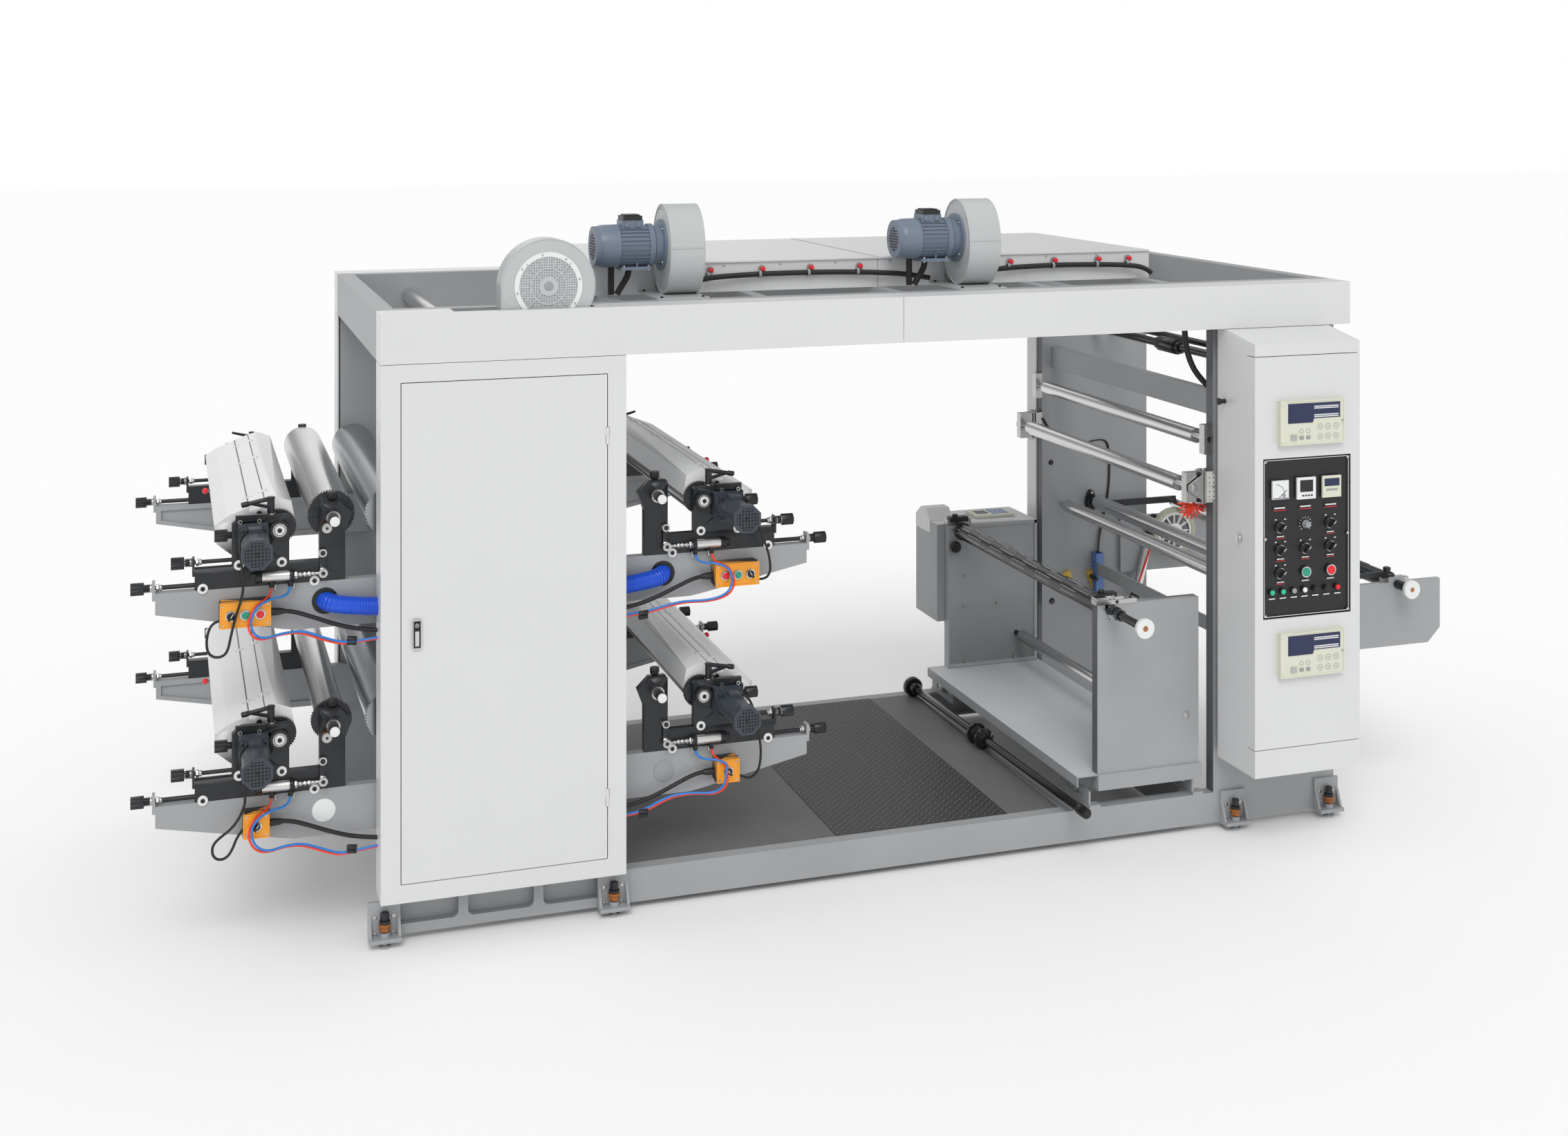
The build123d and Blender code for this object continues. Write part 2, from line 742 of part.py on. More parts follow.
def plate_cylinder(top, radius, gear_radius, teeth):
    z = top + cylinder_axis_height
    face0 = front_inner + arm_thickness + roller_end_gap
    face1 = machine_width - face0
    shaft = rod_y(cylinder_axis_x, z, front_inner - cylinder_stub, machine_width - front_inner - 2,
                  cylinder_journal)
    roll = rod_y(cylinder_axis_x, z, face0 + cylinder_gear_width, face1, radius)
    gear = gear_y(cylinder_axis_x, z, face0, cylinder_gear_width, gear_radius, teeth)
    return joined([shaft, roll, gear])


def impression_drum(top):
    z = top + drum_axis_height
    face0 = front_inner + arm_thickness + roller_end_gap
    face1 = machine_width - face0
    shaft = rod_y(drum_axis_x, z, plate_inset + 10, back_outer - 10, drum_journal)
    roll = rod_y(drum_axis_x, z, face0 + cylinder_gear_width, face1, drum_radius)
    gear = gear_y(drum_axis_x, z, face0, cylinder_gear_width, drum_gear_radius, drum_gear_teeth)
    return joined([shaft, roll, gear])


def control_box(top, buttons):
    """A push-button box on the arm's outer face."""
    x0, x1 = (-523, -356) if buttons == 3 else (-447, -361)
    z1 = top - 37
    box = block(x0, x1, front_inner - 62, front_inner, z1 - 84, z1)
    box = fillet(box.edges().filter_by(Axis.Y), 5)
    middle = (x0 + x1) / 2
    for k in range(buttons):
        x = middle + (k - (buttons - 1) / 2) * 48
        box = box + rod_y(x, z1 - 42, front_inner - 72, front_inner - 62, 15)
    return box


def print_units():
    arms = []
    boxes = []
    for side, turn in (("left", lambda piece: piece), ("right", mirrored_x)):
        for level, top in zip(("upper", "lower"), arm_tops):
            name = side + "_" + level
            k = arm_tops.index(top)
            for piece in arm(top):
                arms.extend(turn(copy) for copy in both_sides(piece))
            boxes.append(turn(control_box(top, 3 if level == "upper" else 1)))
            front, back = both_sides(plate_carriage_side(top))
            keep("plate_carriage_" + name, turn(front + throw_cylinder(top)), turn(back))
            keep("ink_unit_" + name, turn(ink_unit(top)))
            keep("ink_lid_" + name, turn(ink_lid(top)))
            keep("anilox_roller_" + name, turn(anilox(top)))
            keep("impression_drum_" + name, turn(impression_drum(top)))
            if side == "left":
                cylinder = plate_cylinder(top, cylinder_radii[k], cylinder_gear_radii[k],
                                          cylinder_gear_teeth[k])
                keep("plate_cylinder_" + name, cylinder)
    keep("print_arms", *arms)
    keep("control_boxes", *boxes)


# Web stand

def guide_roller(xz, radius, y0, y1, shaft0, shaft1):
    x, z = xz
    return joined([rod_y(x, z, shaft0, shaft1, idler_shaft_radius), rod_y(x, z, y0, y1, radius)])


def web_rollers():
    reach = 60
    y0 = front_inner + reach
    y1 = back_inner - reach
    inside0 = front_inner + seat_gap
    inside1 = back_inner - seat_gap
    keep("idler_roller_low", guide_roller(idler_low_xz, idler_radius, y0, y1,
                                          plate_inset + 5, back_outer - 5))
    keep("draw_roller", guide_roller(draw_roller_xz, draw_roller_radius, y0, y1,
                                     plate_inset + 5, back_outer - 5))
    keep("idler_roller_bay", guide_roller(idler_bay_xz, idler_radius, y0, y1,
                                          plate_inset + 5, back_outer - 5))
    keep("idler_roller_top", guide_roller(idler_top_xz, idler_radius, y0, y1, inside0, inside1))
    keep("tension_roller", guide_roller(tension_roller_xz, tension_roller_radius, y0, y1,
                                        inside0, inside1))


def web_fittings():
    beam = block(tie_beam_x, tie_beam_x + tie_beam_width, front_inner, back_inner,
                 tie_beam_bottom, tie_beam_bottom + tie_beam_height)
    low_bar = block(3560, 3568, front_inner, back_inner, 640, 700)
    print_tie = block(middle_x - 60, middle_x + 60, front_inner, back_inner, 60, 160)
    print_tie_high = block(middle_x - 60, middle_x + 60, front_inner, back_inner, 1780, 1860)
    keep("cross_ties", beam, low_bar, print_tie, print_tie_high)
    brackets = []
    for x, z in (idler_top_xz, tension_roller_xz):
        y0 = plate_inset + 14
        y1 = front_inner
        piece = block(x - 26, web_stand_start, y0, y1, z - bracket_height / 2, z + bracket_height / 2)
        piece = piece - rod_y(x, z, y0, y1, idler_shaft_radius + running_fit)
        brackets.extend(both_sides(piece))
    keep("web_brackets", *brackets, *web_brackets)


def unwind_stand():
    skirt_bottom = platform_top - platform_skirt
    deck = block(platform_left, platform_right, platform_front, platform_back,
                 platform_top - platform_sheet, platform_top)
    left_skirt = block(platform_left, platform_left + platform_sheet, platform_front, platform_back,
                       platform_top - 40, platform_top)
    front_cheek = block(cheek_left, cheek_right, platform_front, platform_front + cheek_thickness,
                        skirt_bottom, cheek_top)
    front_skirt = block(cheek_left, platform_right, platform_front - 8, platform_front,
                        skirt_bottom, platform_top)
    back_cheek = block(cheek_left, cheek_right, platform_back - cheek_thickness, platform_back,
                       skirt_bottom, cheek_top)
    side_box = block(side_box_left, cheek_right, platform_back, platform_back + side_box_reach,
                     side_box_bottom, cheek_top)
    notch0 = block(unwind_axis_x - 22, unwind_axis_x + 22, platform_front - 10,
                   platform_front + cheek_thickness, unwind_axis_z, cheek_top)
    stand = joined([deck, left_skirt, front_cheek, front_skirt, back_cheek, side_box])
    for y0 in (platform_front, platform_back - cheek_thickness):
        stand = stand - rod_y(unwind_axis_x, unwind_axis_z, y0, y0 + cheek_thickness,
                              unwind_journal + running_fit)
    stand = stand - notch0
    clamp = block(unwind_axis_x - 60, unwind_axis_x + 60, platform_front + 2,
                  platform_front + cheek_thickness - 2, cheek_top, cheek_top + 28)
    back_clamp = block(unwind_axis_x - 60, unwind_axis_x + 60, platform_back - cheek_thickness + 2,
                       platform_back - 2, cheek_top, cheek_top + 28)
    bearers = []
    low_x = slot_bracket_xs[0] + slot_bracket_sheet + 4
    high_x = slot_bracket_xs[1] - 4
    for y in slide_ys():
        bearers.append(block(low_x, high_x, y - 16, y + 16, slide_height() - 16,
                             platform_top - platform_sheet))
        bearers.append(rod_x(y, slide_height(), slot_bracket_xs[0] - 4,
                             slot_bracket_xs[1] + slot_bracket_sheet + 4, slide_pin_radius))
    keep("unwind_stand", joined([stand, clamp, back_clamp, *bearers]))
    shaft = rod_y(unwind_axis_x, unwind_axis_z, platform_front - 267, platform_back - seat_gap,
                  unwind_journal)
    core = rod_y(unwind_axis_x, unwind_axis_z, platform_front + 70, platform_back - 70,
                 unwind_core_radius)
    disc = rod_y(unwind_axis_x, unwind_axis_z, platform_front - 281, platform_front - 267,
                 unwind_disc_radius)
    keep("unwind_shaft", joined([shaft, core, disc]))
    brackets = []
    for x in slot_bracket_xs:
        for y in slide_ys():
            brackets.append(slot_bracket(x, y))
    keep("slide_brackets", *brackets)


def slide_height():
    """The height of the pins that run in the slotted brackets."""
    return rail_top + slot_bracket_height / 2 + 4


def slide_ys():
    """Where the pins stand at rest: the middle of the front and the back bracket."""
    front = plate_inset + 10 + slot_bracket_length / 2
    return front, machine_width - front


def slot_bracket(x, y):
    """A slotted bracket that a pin of the sliding stand runs along."""
    half = slot_bracket_length / 2
    z = rail_top
    plate = block(x, x + slot_bracket_sheet, y - half, y + half, z, z + slot_bracket_height)
    slot_half = stand_travel + slide_pin_radius + 4
    slot = block(x, x + slot_bracket_sheet, y - slot_half, y + slot_half,
                 slide_height() - slide_pin_radius - seat_gap, slide_height() + slide_pin_radius + 2)
    outer = plate_inset if y < machine_width / 2 else back_outer - 40
    foot = block(x, x + slot_bracket_foot, outer, outer + 40, z, z + 10)
    return plate - slot + foot


def rewind():
    arms = []
    outline = [(rewind_arm_left, rewind_arm_bottom), (rewind_arm_right - 60, rewind_arm_bottom),
               (rewind_arm_right, rewind_arm_bottom + 60), (rewind_arm_right, rewind_arm_top),
               (rewind_arm_left, rewind_arm_top)]
    y0 = front_inner
    y1 = y0 + rewind_arm_thickness
    x, z = rewind_axis_xz
    arm_plate = slab_y(outline, y0, y1)
    block_top = block(x - 40, x + 40, y0, y1, rewind_arm_top, z + 30)
    piece = arm_plate + block_top
    piece = piece - rod_y(x, z, y0, y1, unwind_journal + running_fit)
    arms.extend(both_sides(piece))
    keep("rewind_arms", *arms)
    shaft = rod_y(x, z, y0 - 90, machine_width - y0 + 5, unwind_journal)
    core = rod_y(x, z, y1 + 30, machine_width - y1 - 30, rewind_core_radius)
    disc = rod_y(x, z, y0 - 104, y0 - 90, unwind_disc_radius)
    keep("rewind_shaft", joined([shaft, core, disc]))


# Drying air

def hoods():
    pieces = []
    z = fascia_top - hood_drop
    for x0, x1 in ((hood_left, hood_seam - 1), (hood_seam + 1, hood_right)):
        pieces.append(block(x0, x1, hood_front, hood_back, z, z + hood_height))
    keep("dryer_hoods", *pieces)


def blowers():
    casings = []
    motors = []
    y = volute_y
    z = fascia_top + blower_base + volute_half_height
    for x in volute_xs:
        face = Pos(y, z) * Ellipse(volute_half_depth, volute_half_height)
        casing = extrude(Plane.YZ.offset(x) * face, volute_width)
        outlet = block(x + outlet_inset, x + volute_width - outlet_inset, y, hood_front,
                       outlet_bottom, outlet_bottom + outlet_height)
        base = block(x - blower_base_left, x + volute_width + blower_base_right, blower_base_front,
                     hood_front, fascia_top, fascia_top + blower_base)
        casings.append(casing + outlet + base)
        motors.append(rod_x(y, z + blower_motor_rise, x - blower_motor_length, x, blower_motor_radius))
    x, z = front_volute_xz
    back = fascia_depth
    casing = rod_y(x, z, front_volute_face, back, front_volute_radius)
    left = x - front_volute_radius
    outlet = block(left, left + front_outlet_width, front_volute_face, back, front_outlet_bottom, z)
    keep("blower_casings", *casings, casing + outlet)
    motors.append(rod_y(x, z, back, back + front_motor_length, blower_motor_radius))
    keep("blower_motors", *motors)


print_side_frames()
web_side_frames()
base()
levelling_feet()
top_frame()
fascia()
surround()
back_covers()
cabinet()
print_units()
web_rollers()
web_fittings()
unwind_stand()
rewind()
hoods()
blowers()

for name, solids in nodes.items():
    moved = [Pos(-footprint_middle_x, -footprint_middle_y, 0) * solid for solid in solids]
    whole = Compound(children=moved) if len(moved) > 1 else moved[0]
    export_step(whole, "parts/" + name + ".step")
print(len(nodes), "nodes")
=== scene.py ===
import json
from math import cos, pi, radians, sin
import bpy
import bmesh
import numpy as np
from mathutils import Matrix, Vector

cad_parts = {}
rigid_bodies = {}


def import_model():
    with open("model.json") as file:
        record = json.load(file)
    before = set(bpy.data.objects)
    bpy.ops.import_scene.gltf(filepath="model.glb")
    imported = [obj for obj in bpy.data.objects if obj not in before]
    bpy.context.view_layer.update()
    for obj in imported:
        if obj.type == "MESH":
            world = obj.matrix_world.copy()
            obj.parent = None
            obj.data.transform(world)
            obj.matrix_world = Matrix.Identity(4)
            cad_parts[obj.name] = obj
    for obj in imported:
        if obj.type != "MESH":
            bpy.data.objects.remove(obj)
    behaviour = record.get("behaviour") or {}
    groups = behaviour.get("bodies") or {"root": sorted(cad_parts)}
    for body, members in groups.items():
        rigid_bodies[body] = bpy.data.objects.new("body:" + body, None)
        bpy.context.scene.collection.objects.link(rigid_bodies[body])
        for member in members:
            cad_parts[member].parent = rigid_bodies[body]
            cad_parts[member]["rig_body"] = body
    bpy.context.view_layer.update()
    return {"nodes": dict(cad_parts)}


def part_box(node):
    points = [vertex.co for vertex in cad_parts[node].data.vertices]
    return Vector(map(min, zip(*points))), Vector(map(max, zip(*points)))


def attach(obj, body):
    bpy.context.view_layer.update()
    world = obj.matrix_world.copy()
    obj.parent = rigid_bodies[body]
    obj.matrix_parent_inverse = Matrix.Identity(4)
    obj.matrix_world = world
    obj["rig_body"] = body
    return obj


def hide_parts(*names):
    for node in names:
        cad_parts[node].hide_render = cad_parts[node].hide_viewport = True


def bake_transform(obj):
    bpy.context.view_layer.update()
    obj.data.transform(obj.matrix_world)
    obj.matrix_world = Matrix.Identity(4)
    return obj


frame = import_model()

nodes = frame["nodes"]
print("frame loaded:", len(nodes), "nodes")

# Every size below is in millimetres from the print stand's front left corner, as in the drawing
machine = {"origin": (1820, 788, 0), "width": 1787, "mirror": 858, "plateFront": 97,
           "armTops": {"upper": 1257, "lower": 540}, "railTop": 145}
origin = np.array(machine["origin"], float)


# Surfaces: every shape is a pair (points, faces)

def gridFaces(rows, columns, closeRows=False, closeColumns=False):
    # point (i, j) of the grid is number i * columns + j; a face joins it to its next neighbours both ways
    i, j = np.meshgrid(np.arange(rows - (not closeRows)), np.arange(columns - (not closeColumns)),
                       indexing="ij")
    nextI = (i + 1) % rows
    nextJ = (j + 1) % columns
    quads = np.stack([i * columns + j, nextI * columns + j, nextI * columns + nextJ, i * columns + nextJ], -1)
    return quads.reshape(-1, 4).tolist()


def merged(shapes):
    # the points one after the other, each shape's faces counted on from the points before it
    points = []
    faces = []
    count = 0
    for shapePoints, shapeFaces in shapes:
        points.append(shapePoints)
        faces.extend([[n + count for n in face] for face in shapeFaces])
        count += len(shapePoints)
    return np.concatenate(points), faces


def turned(profile, centre, axis="z", sides=32, fluted=0.0, flutes=0):
    # at height h and angle a the point is (r cos a, r sin a, h); flutes make r smaller by a cosine wave of a
    profile = np.asarray(profile, float)
    angles = np.arange(sides) * 2 * pi / sides
    wave = 1 - fluted * (0.5 - 0.5 * np.cos(flutes * angles))
    radius = profile[:, 1, None] * wave[None, :]
    local = np.stack([radius * np.cos(angles), radius * np.sin(angles),
                      np.repeat(profile[:, :1], sides, 1)], -1)
    # row k holds where local axis k points; height runs along the named axis
    order = {"x": (2, 0, 1), "y": (0, 2, 1), "z": (0, 1, 2)}[axis]
    points = local.reshape(-1, 3)[:, order] + np.asarray(centre, float)
    faces = gridFaces(len(profile), sides, closeColumns=True)
    faces.append(list(range(sides - 1, -1, -1)))
    faces.append([(len(profile) - 1) * sides + k for k in range(sides)])
    return points, faces


def rod(axis, centre, low, high, radius, sides=20, round_=0.0):
    # a bar along the axis from low to high; its ends' rims are rounded by two short steps
    r = radius
    e = round_
    profile = [(low, r - e), (low + 0.3 * e, r - 0.3 * e), (low + e, r), (high - e, r),
               (high - 0.3 * e, r - 0.3 * e), (high, r - e)] if e else [(low, r), (high, r)]
    return turned(profile, centre, axis, sides)


def ring(axis, centre, low, high, inner, outer, sides=36):
    # a flat band: the closed loop of its four corners carried round the axis
    loop = [(low, inner), (low, outer), (high, outer), (high, inner)]
    points = turned(loop, centre, axis, sides)[0]
    return points, gridFaces(4, sides, closeRows=True, closeColumns=True)


def prism(outline, axis, low, high):
    # the outline at the low end and again at the high end, a face round each edge and one at each end
    outline = np.asarray(outline, float)
    n = len(outline)
    along = {"x": 0, "y": 1, "z": 2}[axis]
    across = [k for k in range(3) if k != along]
    points = np.zeros((2 * n, 3))
    points[:, across] = np.tile(outline, (2, 1))
    points[:n, along] = low
    points[n:, along] = high
    faces = gridFaces(2, n, closeColumns=True)
    faces.append(list(range(n)))
    faces.append(list(range(2 * n - 1, n - 1, -1)))
    return points, faces


def frameLoop(outer, inner, axis, low, high):
    # a band between two outlines with as many corners: four loops joined into a closed tube
    outer = np.asarray(outer, float)
    inner = np.asarray(inner, float)
    n = len(outer)
    along = {"x": 0, "y": 1, "z": 2}[axis]
    across = [k for k in range(3) if k != along]
    points = np.zeros((4 * n, 3))
    points[:, across] = np.concatenate([outer, outer, inner, inner])
    points[:, along] = np.repeat([low, high, high, low], n)
    return points, gridFaces(4, n, closeRows=True, closeColumns=True)


def brick(x0, x1, y0, y1, z0, z1):
    return prism([(x0, y0), (x1, y0), (x1, y1), (x0, y1)], "z", z0, z1)


def polygon(centre, radius, sides, turn=0.0, squash=1.0):
    angles = turn + np.arange(sides) * 2 * pi / sides
    return np.stack([centre[0] + radius * np.cos(angles), centre[1] + squash * radius * np.sin(angles)], -1)


def leaning(shape, axis, angle, centre):
    # the shape turned about a line along the axis through the centre: the usual cosine and sine pair
    points, faces = shape
    a, b = [k for k in range(3) if k != {"x": 0, "y": 1, "z": 2}[axis]]
    centre = np.asarray(centre, float)
    local = points - centre
    result = local.copy()
    result[:, a] = local[:, a] * cos(angle) - local[:, b] * sin(angle)
    result[:, b] = local[:, a] * sin(angle) + local[:, b] * cos(angle)
    return result + centre, faces


def sweptGrid(path, radius, sides=10, up=(0.03, 0.02, 1.0)):
    # a circle in the plane square to the path: centre + r (cos a) side + r (sin a) rise
    path = np.asarray(path, float)
    ahead = np.gradient(path, axis=0)
    ahead /= np.linalg.norm(ahead, axis=1)[:, None]
    side = np.cross(ahead, np.asarray(up, float))
    side /= np.linalg.norm(side, axis=1)[:, None] + 1e-9
    rise = np.cross(side, ahead)
    angles = np.arange(sides) * 2 * pi / sides
    radius = np.broadcast_to(np.asarray(radius, float), (len(path),))[:, None, None]
    circle = side[:, None, :] * np.cos(angles)[None, :, None] + rise[:, None, :] * np.sin(angles)[None, :,
                                                                                                  None]
    return path[:, None, :] + radius * circle


def tube(grid):
    # rows of points joined to each other, with a face over each end
    rows, sides = grid.shape[:2]
    faces = gridFaces(rows, sides, closeColumns=True)
    faces.append(list(range(sides)))
    faces.append([(rows - 1) * sides + k for k in range(sides - 1, -1, -1)])
    return grid.reshape(-1, 3), faces


def smoothLine(route, resolution=8):
    # the NURBS line of order 3 that the route's points pull, read back as points
    curve = bpy.data.curves.new("route", "CURVE")
    curve.dimensions = "3D"
    curve.resolution_u = resolution
    spline = curve.splines.new("NURBS")
    spline.points.add(len(route) - 1)
    spline.points.foreach_set("co", [value for point in route for value in (*point, 1.0)])
    spline.order_u = 3
    spline.use_endpoint_u = True
    holder = bpy.data.objects.new("route", curve)
    line = bpy.data.meshes.new_from_object(holder)
    points = np.empty(3 * len(line.vertices))
    line.vertices.foreach_get("co", points)
    bpy.data.objects.remove(holder)
    bpy.data.curves.remove(curve)
    bpy.data.meshes.remove(line)
    return points.reshape(-1, 3)


def evenly(path, step):
    # the same line with its points one step apart, by length along it
    lengths = np.concatenate([[0], np.cumsum(np.linalg.norm(np.diff(path, axis=0), axis=1))])
    marks = np.linspace(0, lengths[-1], max(3, int(lengths[-1] / step) + 1))
    return np.stack([np.interp(marks, lengths, path[:, k]) for k in range(3)], -1), marks


def onUnit(shapes, side, level):
    # from a unit's own measures, height above its arm's top, to the machine's; the right side is a
    # mirror image
    placed = []
    for points, faces in shapes:
        points = points + (0, 0, machine["armTops"][level])
        if side == "right":
            points[:, 0] = machine["mirror"] - points[:, 0]
        placed.append((points, faces))
    return placed


def bothSides(shapes):
    # the shapes and their mirror image over the machine's middle
    other = [(points * (1, -1, 1) + (0, machine["width"], 0), faces) for points, faces in shapes]
    return list(shapes) + other


def newPiece(name, mesh, body, bevel, replaced):
    piece = bpy.data.objects.new(name, mesh)
    bpy.context.scene.collection.objects.link(piece)
    if bevel:
        rounding = piece.modifiers.new("rounding", "BEVEL")
        rounding.width = bevel / 1000
        rounding.segments = 2
        rounding.limit_method = "ANGLE"
        rounding.angle_limit = radians(40)
        rounding.harden_normals = True
    if isinstance(body, str):
        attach(piece, body)
    else:
        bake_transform(piece)
    if replaced:
        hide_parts(*replaced)
    return piece


def make(name, body, groups, sharp=35, bevel=0.0, replaced=()):
    # one object out of groups (finish, shapes), its faces turned outwards, round faces smooth,
    # hard edges sharp
    points, faces = merged([shape for finish, shapes in groups for shape in shapes])
    finishIndex = [k for k, (finish, shapes) in enumerate(groups) for shape in shapes for _ in shape[1]]
    mesh = bpy.data.meshes.new(name)
    mesh.from_pydata(((points - origin) / 1000).tolist(), [], faces)
    for finish, shapes in groups:
        mesh.materials.append(finish)
    mesh.polygons.foreach_set("material_index", finishIndex)
    tidy = bmesh.new()
    tidy.from_mesh(mesh)
    bmesh.ops.recalc_face_normals(tidy, faces=tidy.faces)
    tidy.to_mesh(mesh)
    tidy.free()
    mesh.shade_smooth()
    mesh.set_sharp_from_angle(angle=radians(sharp))
    return newPiece(name, mesh, body, bevel, replaced)


def frontOf(nodeName):
    # the node's lowest y in machine millimetres
    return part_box(nodeName)[0][1] * 1000 + origin[1]


def dressedCopy(nodeName, regions, side=None, level=None, sharp=30, bevel=0.0):
    # a merged copy of the node; a face takes the finish of the last region (finish, low, high)
    # that holds its middle
    source = nodes[nodeName]
    mesh = source.data.copy()
    tidy = bmesh.new()
    tidy.from_mesh(mesh)
    bmesh.ops.remove_doubles(tidy, verts=tidy.verts, dist=1e-6)
    tidy.to_mesh(mesh)
    tidy.free()
    middle = np.empty(3 * len(mesh.polygons))
    mesh.polygons.foreach_get("center", middle)
    middle = middle.reshape(-1, 3) * 1000 + origin
    if side == "right":
        middle[:, 0] = machine["mirror"] - middle[:, 0]
    if level:
        middle[:, 2] -= machine["armTops"][level]
    mesh.materials.clear()
    finishes = []
    index = np.zeros(len(mesh.polygons), int)
    for finish, low, high in regions:
        if finish not in finishes:
            finishes.append(finish)
            mesh.materials.append(finish)
        index[np.all((middle >= low) & (middle <= high), 1)] = finishes.index(finish)
    mesh.polygons.foreach_set("material_index", index)
    mesh.shade_smooth()
    mesh.set_sharp_from_angle(angle=radians(sharp))
    piece = newPiece(nodeName + "_dressed", mesh, source["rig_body"], bevel, (nodeName,))
    flat = piece.modifiers.new("flat_faces", "WEIGHTED_NORMAL")
    flat.keep_sharp = True
    flat.weight = 100
    return piece


everywhere = ((-9999, -9999, -9999), (9999, 9999, 9999))
# Finishes

def newFinish(name, colour, roughness, metallic=0.0, **sockets):
    material = bpy.data.materials.new(name)
    material.use_nodes = True
    shader = material.node_tree.nodes["Principled BSDF"]
    shader.inputs["Base Color"].default_value = (*colour, 1)
    shader.inputs["Roughness"].default_value = roughness
    shader.inputs["Metallic"].default_value = metallic
    for key, value in sockets.items():
        shader.inputs[key.replace("_", " ")].default_value = value
    return material


def objectPoint(material, scale=(1, 1, 1)):
    tree = material.node_tree
    point = tree.nodes.new("ShaderNodeTexCoord")
    mapping = tree.nodes.new("ShaderNodeMapping")
    mapping.inputs["Scale"].default_value = scale
    tree.links.new(point.outputs["Object"], mapping.inputs["Vector"])
    return mapping.outputs["Vector"]


def noise(material, scale, detail=3.0, stretch=(1, 1, 1)):
    tree = material.node_tree
    node = tree.nodes.new("ShaderNodeTexNoise")
    node.inputs["Scale"].default_value = scale
    node.inputs["Detail"].default_value = detail
    tree.links.new(objectPoint(material, stretch), node.inputs["Vector"])
    return node.outputs["Fac"]


def mixedColour(material, factor, low, high, start=0.3, end=0.7):
    tree = material.node_tree
    ramp = tree.nodes.new("ShaderNodeValToRGB")
    ramp.color_ramp.elements[0].position = start
    ramp.color_ramp.elements[1].position = end
    ramp.color_ramp.elements[0].color = (*low, 1)
    ramp.color_ramp.elements[1].color = (*high, 1)
    tree.links.new(factor, ramp.inputs["Fac"])
    tree.links.new(ramp.outputs["Color"], tree.nodes["Principled BSDF"].inputs["Base Color"])


def spreadValue(material, factor, socket, low, high):
    tree = material.node_tree
    spread = tree.nodes.new("ShaderNodeMapRange")
    spread.inputs["To Min"].default_value = low
    spread.inputs["To Max"].default_value = high
    tree.links.new(factor, spread.inputs["Value"])
    tree.links.new(spread.outputs["Result"], tree.nodes["Principled BSDF"].inputs[socket])


def bumpy(material, factor, strength, distance):
    tree = material.node_tree
    bump = tree.nodes.new("ShaderNodeBump")
    bump.inputs["Strength"].default_value = strength
    bump.inputs["Distance"].default_value = distance
    tree.links.new(factor, bump.inputs["Height"])
    tree.links.new(bump.outputs["Normal"], tree.nodes["Principled BSDF"].inputs["Normal"])


def paint(name, colour, roughness=0.4, grain=700.0, strength=0.12, vary=0.03, distance=0.0004, **sockets):
    # sprayed coat: fine orange peel, and large soft patches a little darker
    material = newFinish(name, colour, roughness, **sockets)
    bumpy(material, noise(material, grain, 2.0), strength, distance)
    patches = noise(material, 2.3, 4.0)
    low = tuple(c * (1 - vary) for c in colour)
    high = tuple(min(1.0, c * (1 + vary)) for c in colour)
    mixedColour(material, patches, low, high)
    spreadValue(material, noise(material, 35.0, 4.0), "Roughness", roughness * 0.88,
                min(1.0, roughness * 1.12))
    return material


def metal(name, colour, roughness, stretch=(60, 60, 60), scale=8.0, strength=0.05, vary=0.08):
    # machined or ground face: streaks of roughness and a faint relief along the tool's way
    material = newFinish(name, colour, roughness, 1.0)
    streaks = noise(material, scale, 5.0, stretch)
    spreadValue(material, streaks, "Roughness", roughness * 0.7, min(1.0, roughness * 1.35))
    bumpy(material, streaks, strength, 0.0002)
    low = tuple(c * (1 - vary) for c in colour)
    high = tuple(min(1.0, c * (1 + vary)) for c in colour)
    mixedColour(material, noise(material, 5.0, 4.0, (1, 0.3, 1)), low, high)
    return material


whitePaint = paint("white_powder_coat", (0.655, 0.66, 0.665), 0.36, vary=0.012)
coverPaint = paint("cover_paint", (0.8, 0.805, 0.81), 0.4, vary=0.02)
framePaint = paint("frame_grey_paint", (0.335, 0.345, 0.355), 0.46, grain=420, strength=0.25, vary=0.05)
# the frame grey darkened: painted shade for frame faces that stand in shadow
framePaintedShade = paint("frame_painted_shade", (0.10, 0.104, 0.11), 0.5, grain=420, strength=0.25, vary=0.06)
deckPaint = paint("deck_light_grey", (0.58, 0.59, 0.60), 0.5, grain=420, strength=0.15, vary=0.02)
blackSteel = paint("black_oxide_steel", (0.013, 0.015, 0.018), 0.34, grain=260, strength=0.25, vary=0.25)
floorPaint = paint("dark_floor_sheet", (0.13, 0.13, 0.132), 0.5, grain=300, strength=0.2, vary=0.12)
blowerPaint = paint("blower_casing_paint", (0.47, 0.49, 0.49), 0.3, grain=160, strength=0.3, vary=0.03)
blowerMotorPaint = paint("blower_motor_paint", (0.15, 0.185, 0.245), 0.36, grain=240, strength=0.3, vary=0.06)
gearMotorPaint = paint("gear_motor_paint", (0.038, 0.048, 0.062), 0.4, grain=300, strength=0.3, vary=0.1)
orangePlastic = paint("orange_plastic", (0.90, 0.36, 0.022), 0.3, grain=900, strength=0.1, vary=0.03)
creamPlastic = paint("cream_plastic", (0.66, 0.665, 0.55), 0.45, grain=900, strength=0.1, vary=0.02)
blackPlastic = paint("black_plastic", (0.012, 0.012, 0.013), 0.38, grain=700, strength=0.12, vary=0.2)
panelBlack = paint("panel_black_film", (0.010, 0.010, 0.012), 0.42, grain=900, strength=0.08, vary=0.2)
